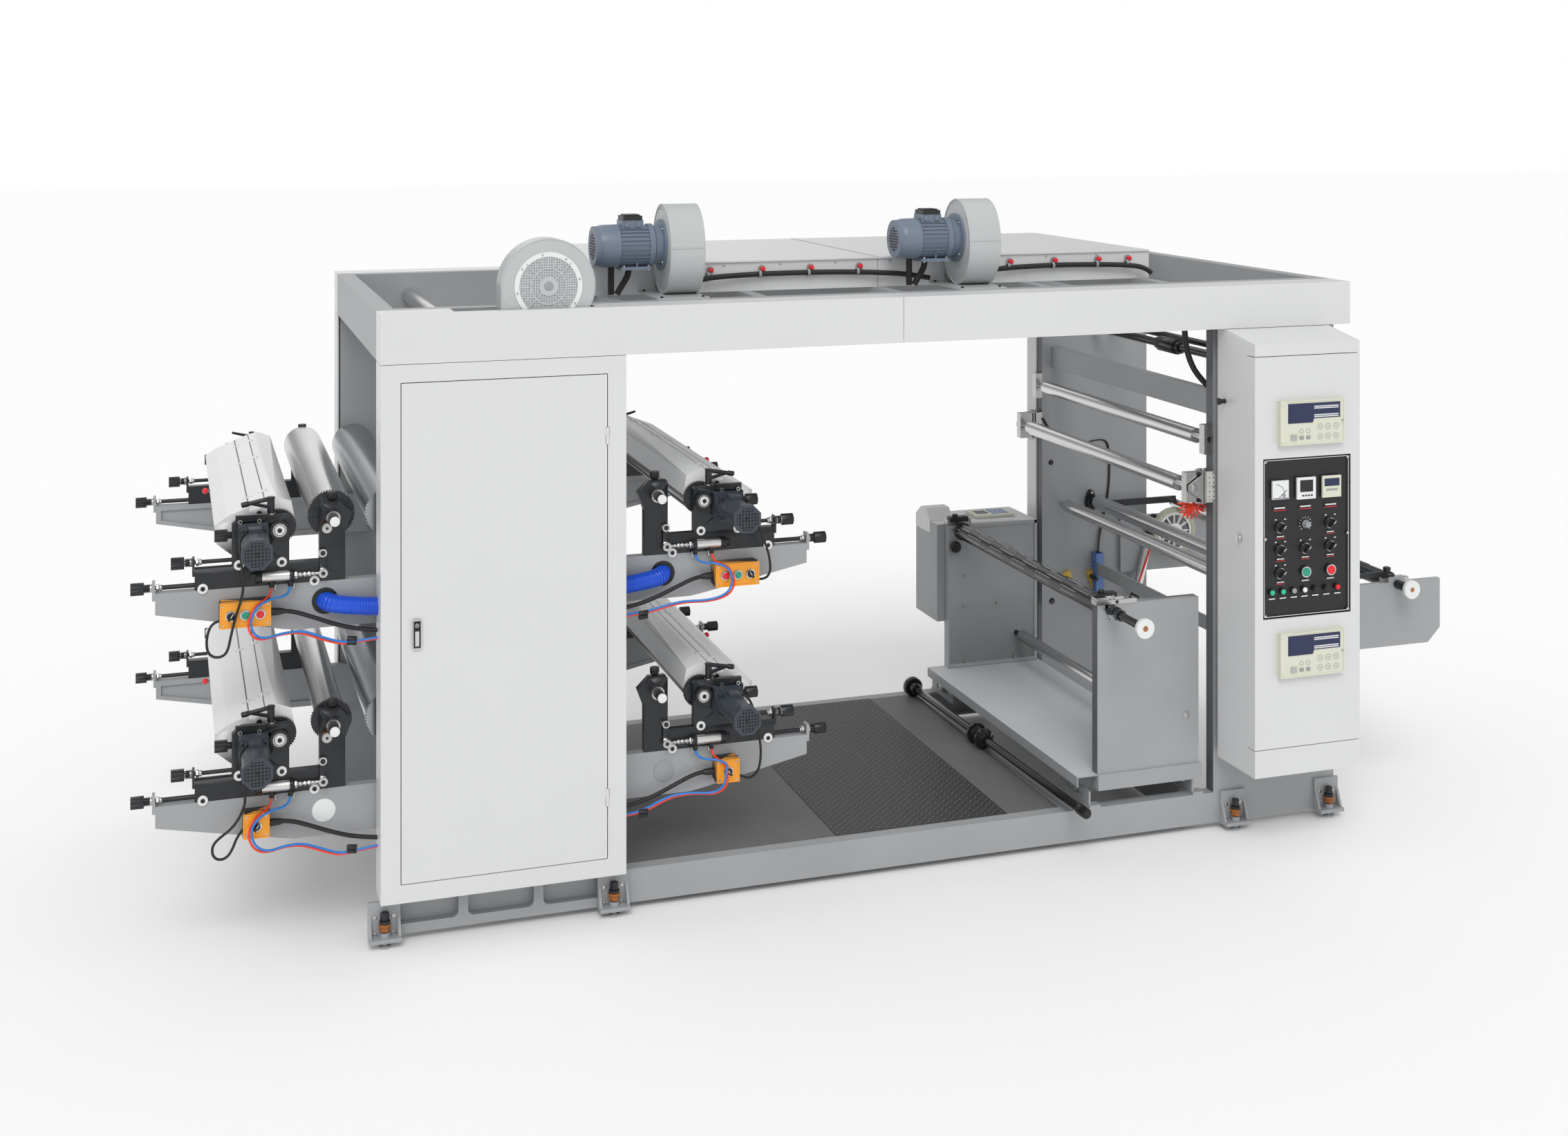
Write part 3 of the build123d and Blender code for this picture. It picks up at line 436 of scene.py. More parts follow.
redPlastic = paint("red_plastic", (0.74, 0.014, 0.022), 0.22, grain=900, strength=0.05, vary=0.03)
greenPlastic = paint("green_plastic", (0.02, 0.30, 0.19), 0.28, grain=900, strength=0.05, vary=0.03)
litGreen = paint("green_lamp", (0.03, 0.50, 0.26), 0.2, grain=900, strength=0.05, vary=0.03)
whitePlastic = paint("white_plastic", (0.75, 0.76, 0.76), 0.32, grain=900, strength=0.08, vary=0.02)
greyPlastic = paint("grey_plastic", (0.30, 0.31, 0.33), 0.4, grain=900, strength=0.1, vary=0.04)
navyDisplay = paint("navy_display", (0.014, 0.022, 0.075), 0.16, grain=900, strength=0.02, vary=0.05)
bluePlastic = paint("blue_duct_plastic", (0.12, 0.22, 0.50), 0.45, grain=900, strength=0.1, vary=0.04)
cellCream = paint("load_cell_cream", (0.66, 0.65, 0.61), 0.4, grain=900, strength=0.1, vary=0.03)
wheelRubber = paint("cream_rubber", (0.50, 0.50, 0.38), 0.5, grain=500, strength=0.2, vary=0.06)
yellowZinc = paint("yellow_zinc", (0.62, 0.42, 0.06), 0.35, grain=500, strength=0.2, vary=0.15)
rustyNut = paint("rusty_orange_nut", (0.32, 0.105, 0.02), 0.6, grain=300, strength=0.5, vary=0.35)
blackRubber = paint("black_rubber", (0.010, 0.010, 0.011), 0.5, grain=600, strength=0.3, vary=0.2)
hoseBlue = paint("blue_hose_vinyl", (0.006, 0.075, 0.60), 0.24, grain=400, strength=0.1, vary=0.08)
tubeRed = paint("red_tube", (0.86, 0.055, 0.02), 0.25, grain=900, strength=0.05, vary=0.03)
tubeBlue = paint("blue_tube", (0.02, 0.20, 0.62), 0.25, grain=900, strength=0.05, vary=0.03)
meshWhite = paint("white_wire_mesh", (0.62, 0.63, 0.63), 0.4, grain=600, strength=0.1, vary=0.04)
glossBlack = paint("gloss_black_lacquer", (0.008, 0.008, 0.009), 0.16, grain=300, strength=0.08, vary=0.2)
chromeSteel = metal("polished_roller_steel", (0.64, 0.64, 0.645), 0.2, (120, 1.5, 120), 6.0, 0.02)
drumSteel = metal("drum_steel", (0.40, 0.42, 0.44), 0.24, (1.2, 90, 1.2), 6.0, 0.03)
cylinderSteel = metal("plate_cylinder_steel", (0.60, 0.605, 0.61), 0.22, (1.5, 110, 1.5), 6.0, 0.06)
aniloxSteel = metal("anilox_engraving", (0.30, 0.305, 0.31), 0.36, (90, 90, 90), 10.0, 0.2)
groundSteel = metal("ground_steel", (0.52, 0.52, 0.51), 0.3, (40, 2, 40), 8.0, 0.05)
aluminium = metal("satin_aluminium", (0.72, 0.72, 0.70), 0.38, (2, 60, 60), 8.0, 0.05)
copper = metal("worn_copper", (0.45, 0.20, 0.10), 0.32, (30, 30, 30), 8.0, 0.1, 0.25)


def treadFinish():
    # checker plate: short raised lozenges in two directions, on a dark worn sheet
    material = paint("tread_plate_finish", (0.035, 0.035, 0.036), 0.42, grain=300, strength=0.2, vary=0.25)
    tree = material.node_tree
    pitch = 0.034
    heights = []
    for turn, shift in ((pi / 4, 0.0), (-pi / 4, 0.5)):
        point = tree.nodes.new("ShaderNodeTexCoord")
        mapping = tree.nodes.new("ShaderNodeMapping")
        mapping.inputs["Scale"].default_value = (1 / pitch, 1 / pitch, 0)
        mapping.inputs["Location"].default_value = (shift, shift, 0)
        tree.links.new(point.outputs["Object"], mapping.inputs["Vector"])
        cell = tree.nodes.new("ShaderNodeVectorMath")
        cell.operation = "FRACTION"
        tree.links.new(mapping.outputs["Vector"], cell.inputs[0])
        middle = tree.nodes.new("ShaderNodeVectorMath")
        middle.operation = "SUBTRACT"
        middle.inputs[1].default_value = (0.5, 0.5, 0)
        tree.links.new(cell.outputs["Vector"], middle.inputs[0])
        turnNode = tree.nodes.new("ShaderNodeVectorRotate")
        turnNode.rotation_type = "Z_AXIS"
        turnNode.inputs["Angle"].default_value = turn
        tree.links.new(middle.outputs["Vector"], turnNode.inputs["Vector"])
        squeeze = tree.nodes.new("ShaderNodeVectorMath")
        squeeze.operation = "MULTIPLY"
        squeeze.inputs[1].default_value = (2.6, 9.0, 0)
        tree.links.new(turnNode.outputs["Vector"], squeeze.inputs[0])
        reach = tree.nodes.new("ShaderNodeVectorMath")
        reach.operation = "LENGTH"
        tree.links.new(squeeze.outputs["Vector"], reach.inputs[0])
        lozenge = tree.nodes.new("ShaderNodeMapRange")
        lozenge.inputs["From Min"].default_value = 1.0
        lozenge.inputs["From Max"].default_value = 0.55
        tree.links.new(reach.outputs["Value"], lozenge.inputs["Value"])
        heights.append(lozenge.outputs["Result"])
    both = tree.nodes.new("ShaderNodeMath")
    both.operation = "MAXIMUM"
    tree.links.new(heights[0], both.inputs[0])
    tree.links.new(heights[1], both.inputs[1])
    bumpy(material, both.outputs["Value"], 0.9, 0.0016)
    mixedColour(material, both.outputs["Value"], (0.028, 0.028, 0.029), (0.10, 0.10, 0.10), 0.0, 1.0)
    return material


treadPlateFinish = treadFinish()

nodeFinishes = {
    "fascia_panels": whitePaint, "print_surround": whitePaint, "print_door": whitePaint,
    "back_covers": whitePaint, "control_cabinet": whitePaint, "cabinet_door": whitePaint,
    "dryer_hoods": whitePaint, "base_rails": framePaint, "top_side_beams": framePaint,
    "top_cross_beams": framePaint, "cross_ties": framePaint, "slide_brackets": framePaint,
    "rewind_arms": framePaint, "tread_plate": treadPlateFinish, "floor_plates": floorPaint,
    "control_panel": panelBlack, "tension_controllers": creamPlastic, "web_brackets": cellCream,
    "base_cross_beams": framePaint, "rewind_shaft": blackSteel, "unwind_shaft": glossBlack,
}


def dressNodes():
    # the nodes that keep their own mesh get one finish each; what starts alike shares one
    starts = {"impression_drum": drumSteel, "idler_roller": chromeSteel, "draw_roller": chromeSteel,
              "tension_roller": chromeSteel}
    for name, node in nodes.items():
        finish = nodeFinishes.get(name)
        for start, value in starts.items():
            if finish is None and name.startswith(start):
                finish = value
        node.data.materials.clear()
        node.data.materials.append(finish or framePaint)


dressNodes()
print("finishes on the nodes")


# Printing units. X is from the stand's end, height from the arm's top; all four are alike

unit = {
    "motorAxis": (-411, 170), "motorEnd": -125, "motorHalf": 49,
    "aniloxAxis": (-325, 189), "plateAxis": (-147, 221), "washerRadius": 17,
    "carriageWashers": ((-576, 5), (-208, 4)), "inkWashers": ((-458, 76), (-317, 76)),
    "throwHeight": 34, "throwY": 128, "boxX": {"upper": (-523, -356), "lower": (-447, -361)},
    "boxHeights": (-121, -37), "boxFront": 88, "coverSpan": (223, 1564),
    "hingeYs": (360, 1020, 1400), "seamX": (-424, -372), "coverTop": 258, "coverSlope": 0.394,
}

inkRegions = [
    (coverPaint, *everywhere),
    (blackSteel, (-999, 88, -200), (0, 200, 420)),
    (blackSteel, (-999, 1587, -200), (0, 1700, 420)),
    (groundSteel, (-460, 190.5, 100), (-380, 217, 260)),
    (groundSteel, (-460, 1570, 100), (-380, 1596, 260)),
    (gearMotorPaint, (-470, -200, 100), (-350, 151, 240)),
]
carriageRegions = [
    (blackSteel, *everywhere),
    (aluminium, (-388, 100, 10), (-290, 149, 60)),
    (groundSteel, (-280, 115, 26), (-189, 141, 42)),
    (groundSteel, (-200, 112, 15), (-160, 137, 53)),
    (groundSteel, (-196, 130, 89), (-166, 149, 120)),
]
aniloxRegions = [(aniloxSteel, *everywhere), (blackSteel, (-999, 0, -99), (0, 225, 999))]
plateRegions = [(cylinderSteel, *everywhere), (blackSteel, (-999, 0, -99), (0, 214, 999)),
                (blackPlastic, (-999, 57, -99), (0, 150, 999))]
lidRegions = [(coverPaint, *everywhere), (redPlastic, (-600, 870, 170), (-541.5, 920, 210)),
              (groundSteel, (-541.5, 885, 180), (-535, 902, 200))]


def washer(x, height, y):
    # a white turned washer with a black socket bolt sunk in its middle
    radius = unit["washerRadius"]
    white = turned([(-1.0, radius), (5.0, radius), (6.5, radius - 2), (6.5, 8.5), (4.0, 7.5)], (0, 0, 0), "y",
                   28)
    bolt = turned([(0.0, 7.0), (7.0, 7.0), (8.2, 6.0), (8.2, 3.2), (5.5, 3.0)], (0, 0, 0), "y", 18)
    flip = (1, -1, 1)
    place = (x, y, height)
    return (white[0] * flip + place, white[1]), (bolt[0] * flip + place, bolt[1])


def motorDetail():
    # the fan cover's rim, a grid of bars in front of a thin black plate that paints the hollow's shade, tie
    # screws and the lead's gland
    x, h = unit["motorAxis"]
    y = unit["motorEnd"]
    half = unit["motorHalf"]
    outer = polygon((x, h), (half + 0.6) / cos(pi / 8), 8, pi / 8)
    inner = polygon((x, h), (half - 9) / cos(pi / 8), 8, pi / 8)
    slate = [frameLoop(outer, inner, "y", y - 5, y + 6)]
    reach = half - 8.5
    for offset in np.arange(-3, 4) * 11.4:
        run = min(reach, reach * 1.414 - abs(offset))
        slate.append(brick(x + offset - 1.9, x + offset + 1.9, y - 3.6, y - 0.6, h - run, h + run))
        slate.append(brick(x - run, x + run, y - 3.8, y - 0.8, h + offset - 1.9, h + offset + 1.9))
    corner = 2.5 * 11.4
    for sx in (-1, 1):
        for sh in (-1, 1):
            slate.append(brick(x + sx * corner - 4.2, x + sx * corner + 4.2, y - 3.4, y - 0.8,
                               h + sh * corner - 4.2, h + sh * corner + 4.2))
            slate.append(rod("y", (x + sx * 38, 0, h + sh * 38), 62, 90.5, 6.5, 14))
    slate.append(ring("y", (x, 0, h), 62, 66, 40, 50, 32))
    slate.append(ring("y", (x, 0, h), -90.5, -84, 40, 48.5, 32))
    slate.append(prism(polygon((x, h), 51, 8, pi / 8), "y", -91.5, -88.5))
    slate.append(brick(x - 21, x + 21, 10, 58, h + 38, h + 55))
    # the first of these, a thin black plate just behind the bars, is painted shade in place of the hollow
    # under the fan cover
    dark = [prism(polygon((x, h), 41, 8, pi / 8), "y", y - 0.7, y - 0.2),
            rod("x", (0, 34, h + 48), x - 34, x - 20, 6, 14, 1.0)]
    screws = [rod("y", (x, 0, h), y - 7, y - 1, 6, 18, 1.0)]
    for sx in (-1, 1):
        for sh in (-1, 1):
            screws.append(rod("y", (x + sx * 38, 0, h + sh * 38), 58, 63, 4, 12, 0.8))
    return slate, dark, screws


def adjusterFittings():
    # round each screw: the jam nut, the scale collar with its white marks, and the knob's grooved neck
    steel = []
    black = []
    white = []
    y = 170
    for height, bracketX, knobX in ((15, -734, -774), (92, -606, -640)):
        for start, sides, radius, width in ((bracketX - 12, 24, 14, 9), (bracketX + 8, 6, 13, 10),
                                            (bracketX + 19, 20, 10, 8)):
            steel.append(rod("x", (0, y, height), start, start + width, radius, sides, 0.8))
        for k in range(10):
            angle = k * pi / 5
            mark = brick(knobX + 2, knobX + 8, -1.4, 1.4, 11.4, 12.9)
            mark = leaning(mark, "x", angle, (0, 0, 0))
            white.append((mark[0] + (0, y, height), mark[1]))
        for k in range(4):
            black.append(ring("x", (0, y, height), knobX + 10 + k * 5, knobX + 12.5 + k * 5, 10, 14.5, 24))
    return steel, black, white


def throwDetail():
    # the air cylinder's end rings, the rod's nuts and eye, its two elbows and their small brass valves
    h = unit["throwHeight"]
    y = unit["throwY"]
    dark = []
    steel = []
    for x in (-388, -293):
        dark.append(ring("x", (0, y, h), x, x + 4, 15, 19.8, 28))
    dark.append(ring("x", (0, y, h), -404, -398, 6, 20.5, 28))
    for x in (-352, -290):
        dark.append(rod("z", (x, y, 0), h - 32, h - 16, 6.5, 14, 1.0))
        dark.append(rod("z", (x, y, 0), h - 37, h - 30, 8.5, 6))
        steel.append(rod("z", (x + 12, y, 0), h - 48, h - 24, 3.2, 10, 0.6))
        steel.append(rod("z", (x + 12, y, 0), h - 44, h - 38, 5, 10, 0.6))
        dark.append(rod("x", (0, y, h - 26), x, x + 14, 4.5, 12, 0.6))
    for start, radius, sides in ((-276, 13, 6), (-262, 9, 18), (-246, 8, 6), (-232, 8.6, 6), (-218, 6.5, 16)):
        steel.append(rod("x", (0, y, h), start, start + 10, radius, sides, 0.8))
    steel.append(ring("y", (-181, 0, h), 116, 120.5, 7, 15.5, 28))
    dark.append(rod("y", (-181, 0, h), 114, 121, 6.8, 18, 0.8))
    dark.append(rod("y", (-181, 0, h + 66), 128, 137, 8.5, 18, 1.0))
    steel.append(ring("y", (-181, 0, h + 66), 131, 136.5, 8.6, 14, 28))
    return dark, steel


def onCover(shape):
    # lays a shape drawn about height 0 on the sloping cover: height = 258 + 0.394 (x + 424)
    points, faces = shape
    lift = unit["coverTop"] + unit["coverSlope"] * (points[:, 0] - unit["seamX"][0])
    return points + lift[:, None] * (0, 0, 1), faces


def inkDetail():
    # cap screws on the motor's clamp bar, the clamp bar, the hand lever's hub, hinges and seams of the cover
    black = []
    steel = []
    seam = []
    white = []
    black.append(brick(-470, -372, 138, 154, 224, 246))
    for x in (-455, -392):
        black.append(rod("y", (x, 0, 226), 131, 139, 9, 18, 1.0))
        steel.append(ring("y", (x, 0, 226), 129.8, 132.5, 4.2, 7.6, 18))
    black.append(rod("z", (-352, 170, 0), 238, 292, 12.5, 20, 1.5))
    black.append(rod("z", (-352, 170, 0), 292, 299, 14.5, 20, 3.0))
    grip = rod("x", (0, 170, 0), -78, 0, 7.5, 14, 3.0)
    grip = leaning(grip, "y", 0.18, (0, 170, 0))
    black.append((grip[0] + (-354, 0, 292), grip[1]))
    tip = rod("x", (0, 170, 0), -98, -72, 9.5, 14, 4.0)
    tip = leaning(tip, "y", 0.18, (0, 170, 0))
    black.append((tip[0] + (-354, 0, 292), tip[1]))
    steel.append(ring("z", (-352, 170, 0), 239, 243, 12.6, 15.5, 24))
    y0, y1 = unit["coverSpan"]
    # the outer leaf of the lid's own hinges goes with the lid, clear of the knuckle when the lid stands open
    lidLeaves = []
    lidScrews = []
    for x, leaf, knuckle, outer in ((unit["seamX"][0], (-17, -8), 3.8, lidLeaves),
                                    (unit["seamX"][1], (-17, 0), 0, white)):
        screws = lidScrews if outer is lidLeaves else steel
        seam.append(onCover(brick(x + 0.3, x + 3, y0, y1, -0.2, 0.9)))
        for y in unit["hingeYs"]:
            outer.append(onCover(brick(x + leaf[0], x + leaf[1], y - 11, y + 11, -0.3, 2.2)))
            white.append(onCover(brick(x + 1.5, x + 17, y - 11, y + 11, -0.3, 2.2)))
            white.append(onCover(rod("y", (x + knuckle, 0, 3.6), y - 11, y + 11, 3.3, 12, 0.6)))
            screws.append(onCover(rod("z", (x - 12.5, y, 0), 1.5, 3.4, 2.6, 10, 0.5)))
            steel.append(onCover(rod("z", (x + 12.5, y, 0), 1.5, 3.4, 2.6, 10, 0.5)))
    return black, steel, seam, white, lidLeaves, lidScrews


def controlBoxes():
    # black base, orange lid with rounded rim and corner screws, gland, buttons
    groups = {"orange": [], "base": [], "steel": [], "red": [], "green": [], "white": [], "black": []}
    h0, h1 = unit["boxHeights"]
    front = unit["boxFront"]
    for side in ("left", "right"):
        for level in ("upper", "lower"):
            x0, x1 = unit["boxX"][level]
            part = {key: [] for key in groups}
            outer = [(x0, h0), (x1, h0), (x1, h1), (x0, h1)]
            inner = [(x0 + 5, h0 + 5), (x1 - 5, h0 + 5), (x1 - 5, h1 - 5), (x0 + 5, h1 - 5)]
            part["orange"].append(frameLoop(outer, inner, "y", front - 2.5, front + 1))
            part["base"].append(frameLoop([(x0 - 1.5, h0 - 1.5), (x1 + 1.5, h0 - 1.5), (x1 + 1.5, h1 + 1.5),
                                           (x0 - 1.5, h1 + 1.5)], inner, "y", 114, 118))
            for sx, sh in ((x0 + 11, h0 + 10), (x1 - 11, h0 + 10), (x0 + 11, h1 - 10), (x1 - 11, h1 - 10)):
                part["steel"].append(rod("y", (sx, 0, sh), front - 2.2, front + 1, 3.6, 12, 0.6))
            middle = (x0 + x1) / 2
            height = h1 - 42
            switches = [("selector", middle)]
            if level == "upper":
                switches = [("selector", middle - 48), ("green", middle), ("red", middle + 48)]
            for kind, x in switches:
                part["steel"].append(ring("y", (x, 0, height), front - 5, front + 1, 14.6, 17.5, 32))
                part["steel"].append(ring("y", (x, 0, height), front - 10.4, front - 8, 13.4, 15.6, 32))
                if kind == "selector":
                    part["black"].append(rod("y", (x, 0, height), front - 12.5, front - 9, 13, 28, 1.5))
                    grip = brick(x - 4.5, x + 4.5, front - 24, front - 12, height - 13, height + 13)
                    part["black"].append(leaning(grip, "y", -0.6, (x, 0, height)))
                    line = brick(x - 1, x + 1, front - 24.8, front - 23.8, height - 1, height + 12)
                    part["white"].append(leaning(line, "y", -0.6, (x, 0, height)))
                else:
                    part[kind].append(rod("y", (x, 0, height), front - 12.4, front - 9, 13.2, 28, 1.2))
            part["black"].append(rod("x", (0, 119, -84), x1 - 1, x1 + 12, 13, 8))
            part["black"].append(turned([(x1 + 12, 13), (x1 + 28, 12), (x1 + 44, 9.5)], (0, 119, -84), "x",
                                        18))
            for key, shapes in part.items():
                groups[key].extend(onUnit(shapes, side, level))
    make("control_box_fittings", "stand",
         [(orangePlastic, groups["orange"]), (blackPlastic, groups["base"] + groups["black"]),
          (chromeSteel, groups["steel"]), (redPlastic, groups["red"]), (greenPlastic, groups["green"]),
          (whitePlastic, groups["white"])])
    regions = [(orangePlastic, *everywhere), (blackPlastic, (-9999, 116, -99), (9999, 9999, 9999)),
               (blackPlastic, (-9999, -999, -99), (9999, unit["boxFront"] - 1, 9999))]
    dressedCopy("control_boxes", regions, bevel=1.2)


leads = {
    "motor": {
        "left_upper": [(-428, 34, 216), (-446, 30, 214), (-462, 50, 172), (-452, 70, 92), (-447, 74, 30),
                       (-449, 74, -8), (-472, 67, -78), (-487, 69, -138), (-497, 76, -194), (-516, 82, -213),
                       (-544, 86, -213), (-563, 90, -194), (-566, 98, -156), (-556, 110, -120),
                       (-540, 118, -104), (-522, 119, -100)],
        "left_lower": [(-428, 34, 216), (-446, 30, 214), (-462, 50, 172), (-450, 70, 92), (-441, 84, 30),
                       (-441, 90, -4), (-461, 88, -50), (-490, 84, -82), (-522, 83, -102), (-546, 86, -126),
                       (-548, 92, -160), (-530, 100, -184), (-500, 108, -184), (-480, 116, -158),
                       (-466, 119, -120), (-446, 119, -96)],
        "right_upper": [(-428, 34, 216), (-446, 30, 216), (-480, 40, 190), (-506, 62, 130), (-530, 80, 60),
                        (-556, 90, 4), (-569, 98, -48), (-570, 103, -88), (-552, 113, -112),
                        (-522, 119, -110)],
        "right_lower": [(-428, 34, 216), (-446, 30, 216), (-476, 40, 184), (-500, 62, 120), (-518, 80, 50),
                        (-530, 91, -6), (-531, 97, -56), (-524, 104, -98), (-500, 114, -124),
                        (-472, 119, -120), (-446, 119, -104)],
    },
    "box": [(-318, 119, -84), (-288, 118, -85), (-215, 113, -112), (-140, 110, -143), (-60, 108, -166),
            (8, 106, -174)],
    "red": {
        "left_upper": [(-352, 128, 2), (-353, 122, -22), (-374, 98, -36), (-404, 72, -44), (-426, 60, -76),
                       (-434, 58, -112), (-419, 60, -150), (-384, 66, -164), (-327, 78, -152),
                       (-257, 90, -154), (-195, 98, -184), (-125, 102, -210), (-58, 102, -206),
                       (8, 100, -200)],
        "left_lower": [(-352, 128, 2), (-353, 122, -22), (-374, 98, -34), (-406, 74, -42), (-428, 60, -74),
                       (-431, 58, -112), (-410, 60, -150), (-372, 66, -166), (-315, 78, -157),
                       (-257, 90, -162), (-196, 98, -190), (-128, 102, -219), (-60, 102, -208),
                       (8, 100, -201)],
        "right_upper": [(-352, 128, 2), (-353, 122, -22), (-372, 98, -36), (-400, 72, -44), (-416, 60, -74),
                        (-419, 58, -106), (-404, 60, -138), (-368, 66, -156), (-316, 76, -165),
                        (-240, 88, -164), (-182, 98, -176), (-115, 102, -193), (-50, 102, -197),
                        (8, 100, -205)],
        "right_lower": [(-352, 128, 2), (-353, 122, -22), (-366, 98, -34), (-386, 74, -46), (-393, 60, -74),
                        (-394, 58, -104), (-379, 60, -134), (-344, 68, -150), (-282, 80, -144),
                        (-206, 92, -148), (-156, 98, -166), (-98, 102, -194), (-44, 102, -201),
                        (8, 100, -204)],
    },
    "blueStart": [(-290, 128, 2), (-292, 122, -22), (-316, 98, -30), (-356, 78, -28), (-398, 66, -46)],
    "blueShift": (9, -2, 5), "motorDiameter": 9, "boxDiameter": 15, "tubeDiameter": 8,
    "hose": [(-176, 176, -68), (-170, 140, -70), (-140, 116, -75), (-66, 106, -84), (8, 104, -91)],
    "hoseDiameter": 64, "hosePitch": 9.5, "moveHeights": (-8, -64), "cutHeight": 20,
}


def movedTube(name, grid, between, start, end, finish, side, level):
    # a tube whose first part goes with one body and whose last part stays with the other
    shape = onUnit([tube(grid)], side, level)
    marks = onUnit([(np.array([start, end], float), [])], side, level)[0][0]
    low, high = (marks - origin) / 1000
    make(name, {"between": between, "start": tuple(low), "end": tuple(high)}, [(finish, shape)])


def unitLeads(side, level):
    # one unit's cords: the motor lead in two lengths, the box lead, the air tubes, and the upper units' hose
    name = side + "_" + level
    carriage = "plate_carriage_" + name
    high, low = leads["moveHeights"]
    path, marks = evenly(smoothLine(leads["motor"][name]), 5)
    grid = sweptGrid(path, leads["motorDiameter"] / 2, 12, (0.1, 1, 0.2))
    cut = int(np.argmax(path[:, 2] < leads["cutHeight"]))
    movedTube("motor_lead_top_" + name, grid[:cut + 1], ("ink_unit_" + name, carriage), (-440, 60, 150),
              (-440, 60, leads["cutHeight"] + 8), blackRubber, side, level)
    movedTube("motor_lead_low_" + name, grid[cut:], (carriage, "stand"), (-440, 60, leads["cutHeight"] - 4),
              (-440, 60, low - 8), blackRubber, side, level)
    red = leads["red"][name]
    shift = np.array(leads["blueShift"])
    blue = leads["blueStart"] + [tuple(np.array(point) + shift) for point in red[4:]]
    for colour, route, finish in (("red", red, tubeRed), ("blue", blue, tubeBlue)):
        path, marks = evenly(smoothLine(route), 5)
        grid = sweptGrid(path, leads["tubeDiameter"] / 2, 12)
        movedTube(colour + "_tube_" + name, grid, (carriage, "stand"), (-352, 90, high), (-352, 90, low - 30),
                  finish, side, level)
    path, marks = evenly(smoothLine(leads["box"]), 6)
    shapes = [tube(sweptGrid(path, leads["boxDiameter"] / 2, 14))]
    ties = []
    for x, h in ((-200, -186), (-118, -212)):
        ties.append(brick(x - 3, x + 3, 90, 116, h - 9, h + 16))
    joiners = [leaning(rod("x", (0, 103, -208), -104, -70, 8.5, 12, 1.5), "y", -0.12, (-90, 103, -208)),
               leaning(rod("x", (0, 97, -192), -104, -70, 8.5, 12, 1.5), "y", -0.12, (-90, 97, -192))]
    make("box_lead_" + name, "stand", [(blackRubber, onUnit(shapes, side, level)),
                                       (blackPlastic, onUnit(joiners, side, level))])
    if level == "upper":
        path, marks = evenly(smoothLine(leads["hose"]), 1.5)
        wave = leads["hoseDiameter"] / 2 * (0.955 + 0.045 * np.cos(2 * pi * marks / leads["hosePitch"]))
        shapes = onUnit([tube(sweptGrid(path, wave, 28))], side, level)
        rim = onUnit([ring("y", (-172, 0, -68), 147, 152, 34, 45, 40)], side, level)
        # a black disc across the grommet's opening round the hose: painted shade of the hole
        hole = onUnit([rod("y", (-172, 0, -68), 149.4, 150.6, 43, 40)], side, level)
        make("air_hose_" + name, "stand", [(hoseBlue, shapes), (blackRubber, rim + hole)], sharp=60)
    else:
        plug = onUnit([rod("y", (-177, 0, -74), 147.5, 150.6, 40, 48, 1.5)], side, level)
        make("hole_plug_" + name, "stand", [(whitePlastic if side == "left" else greyPlastic, plug)])


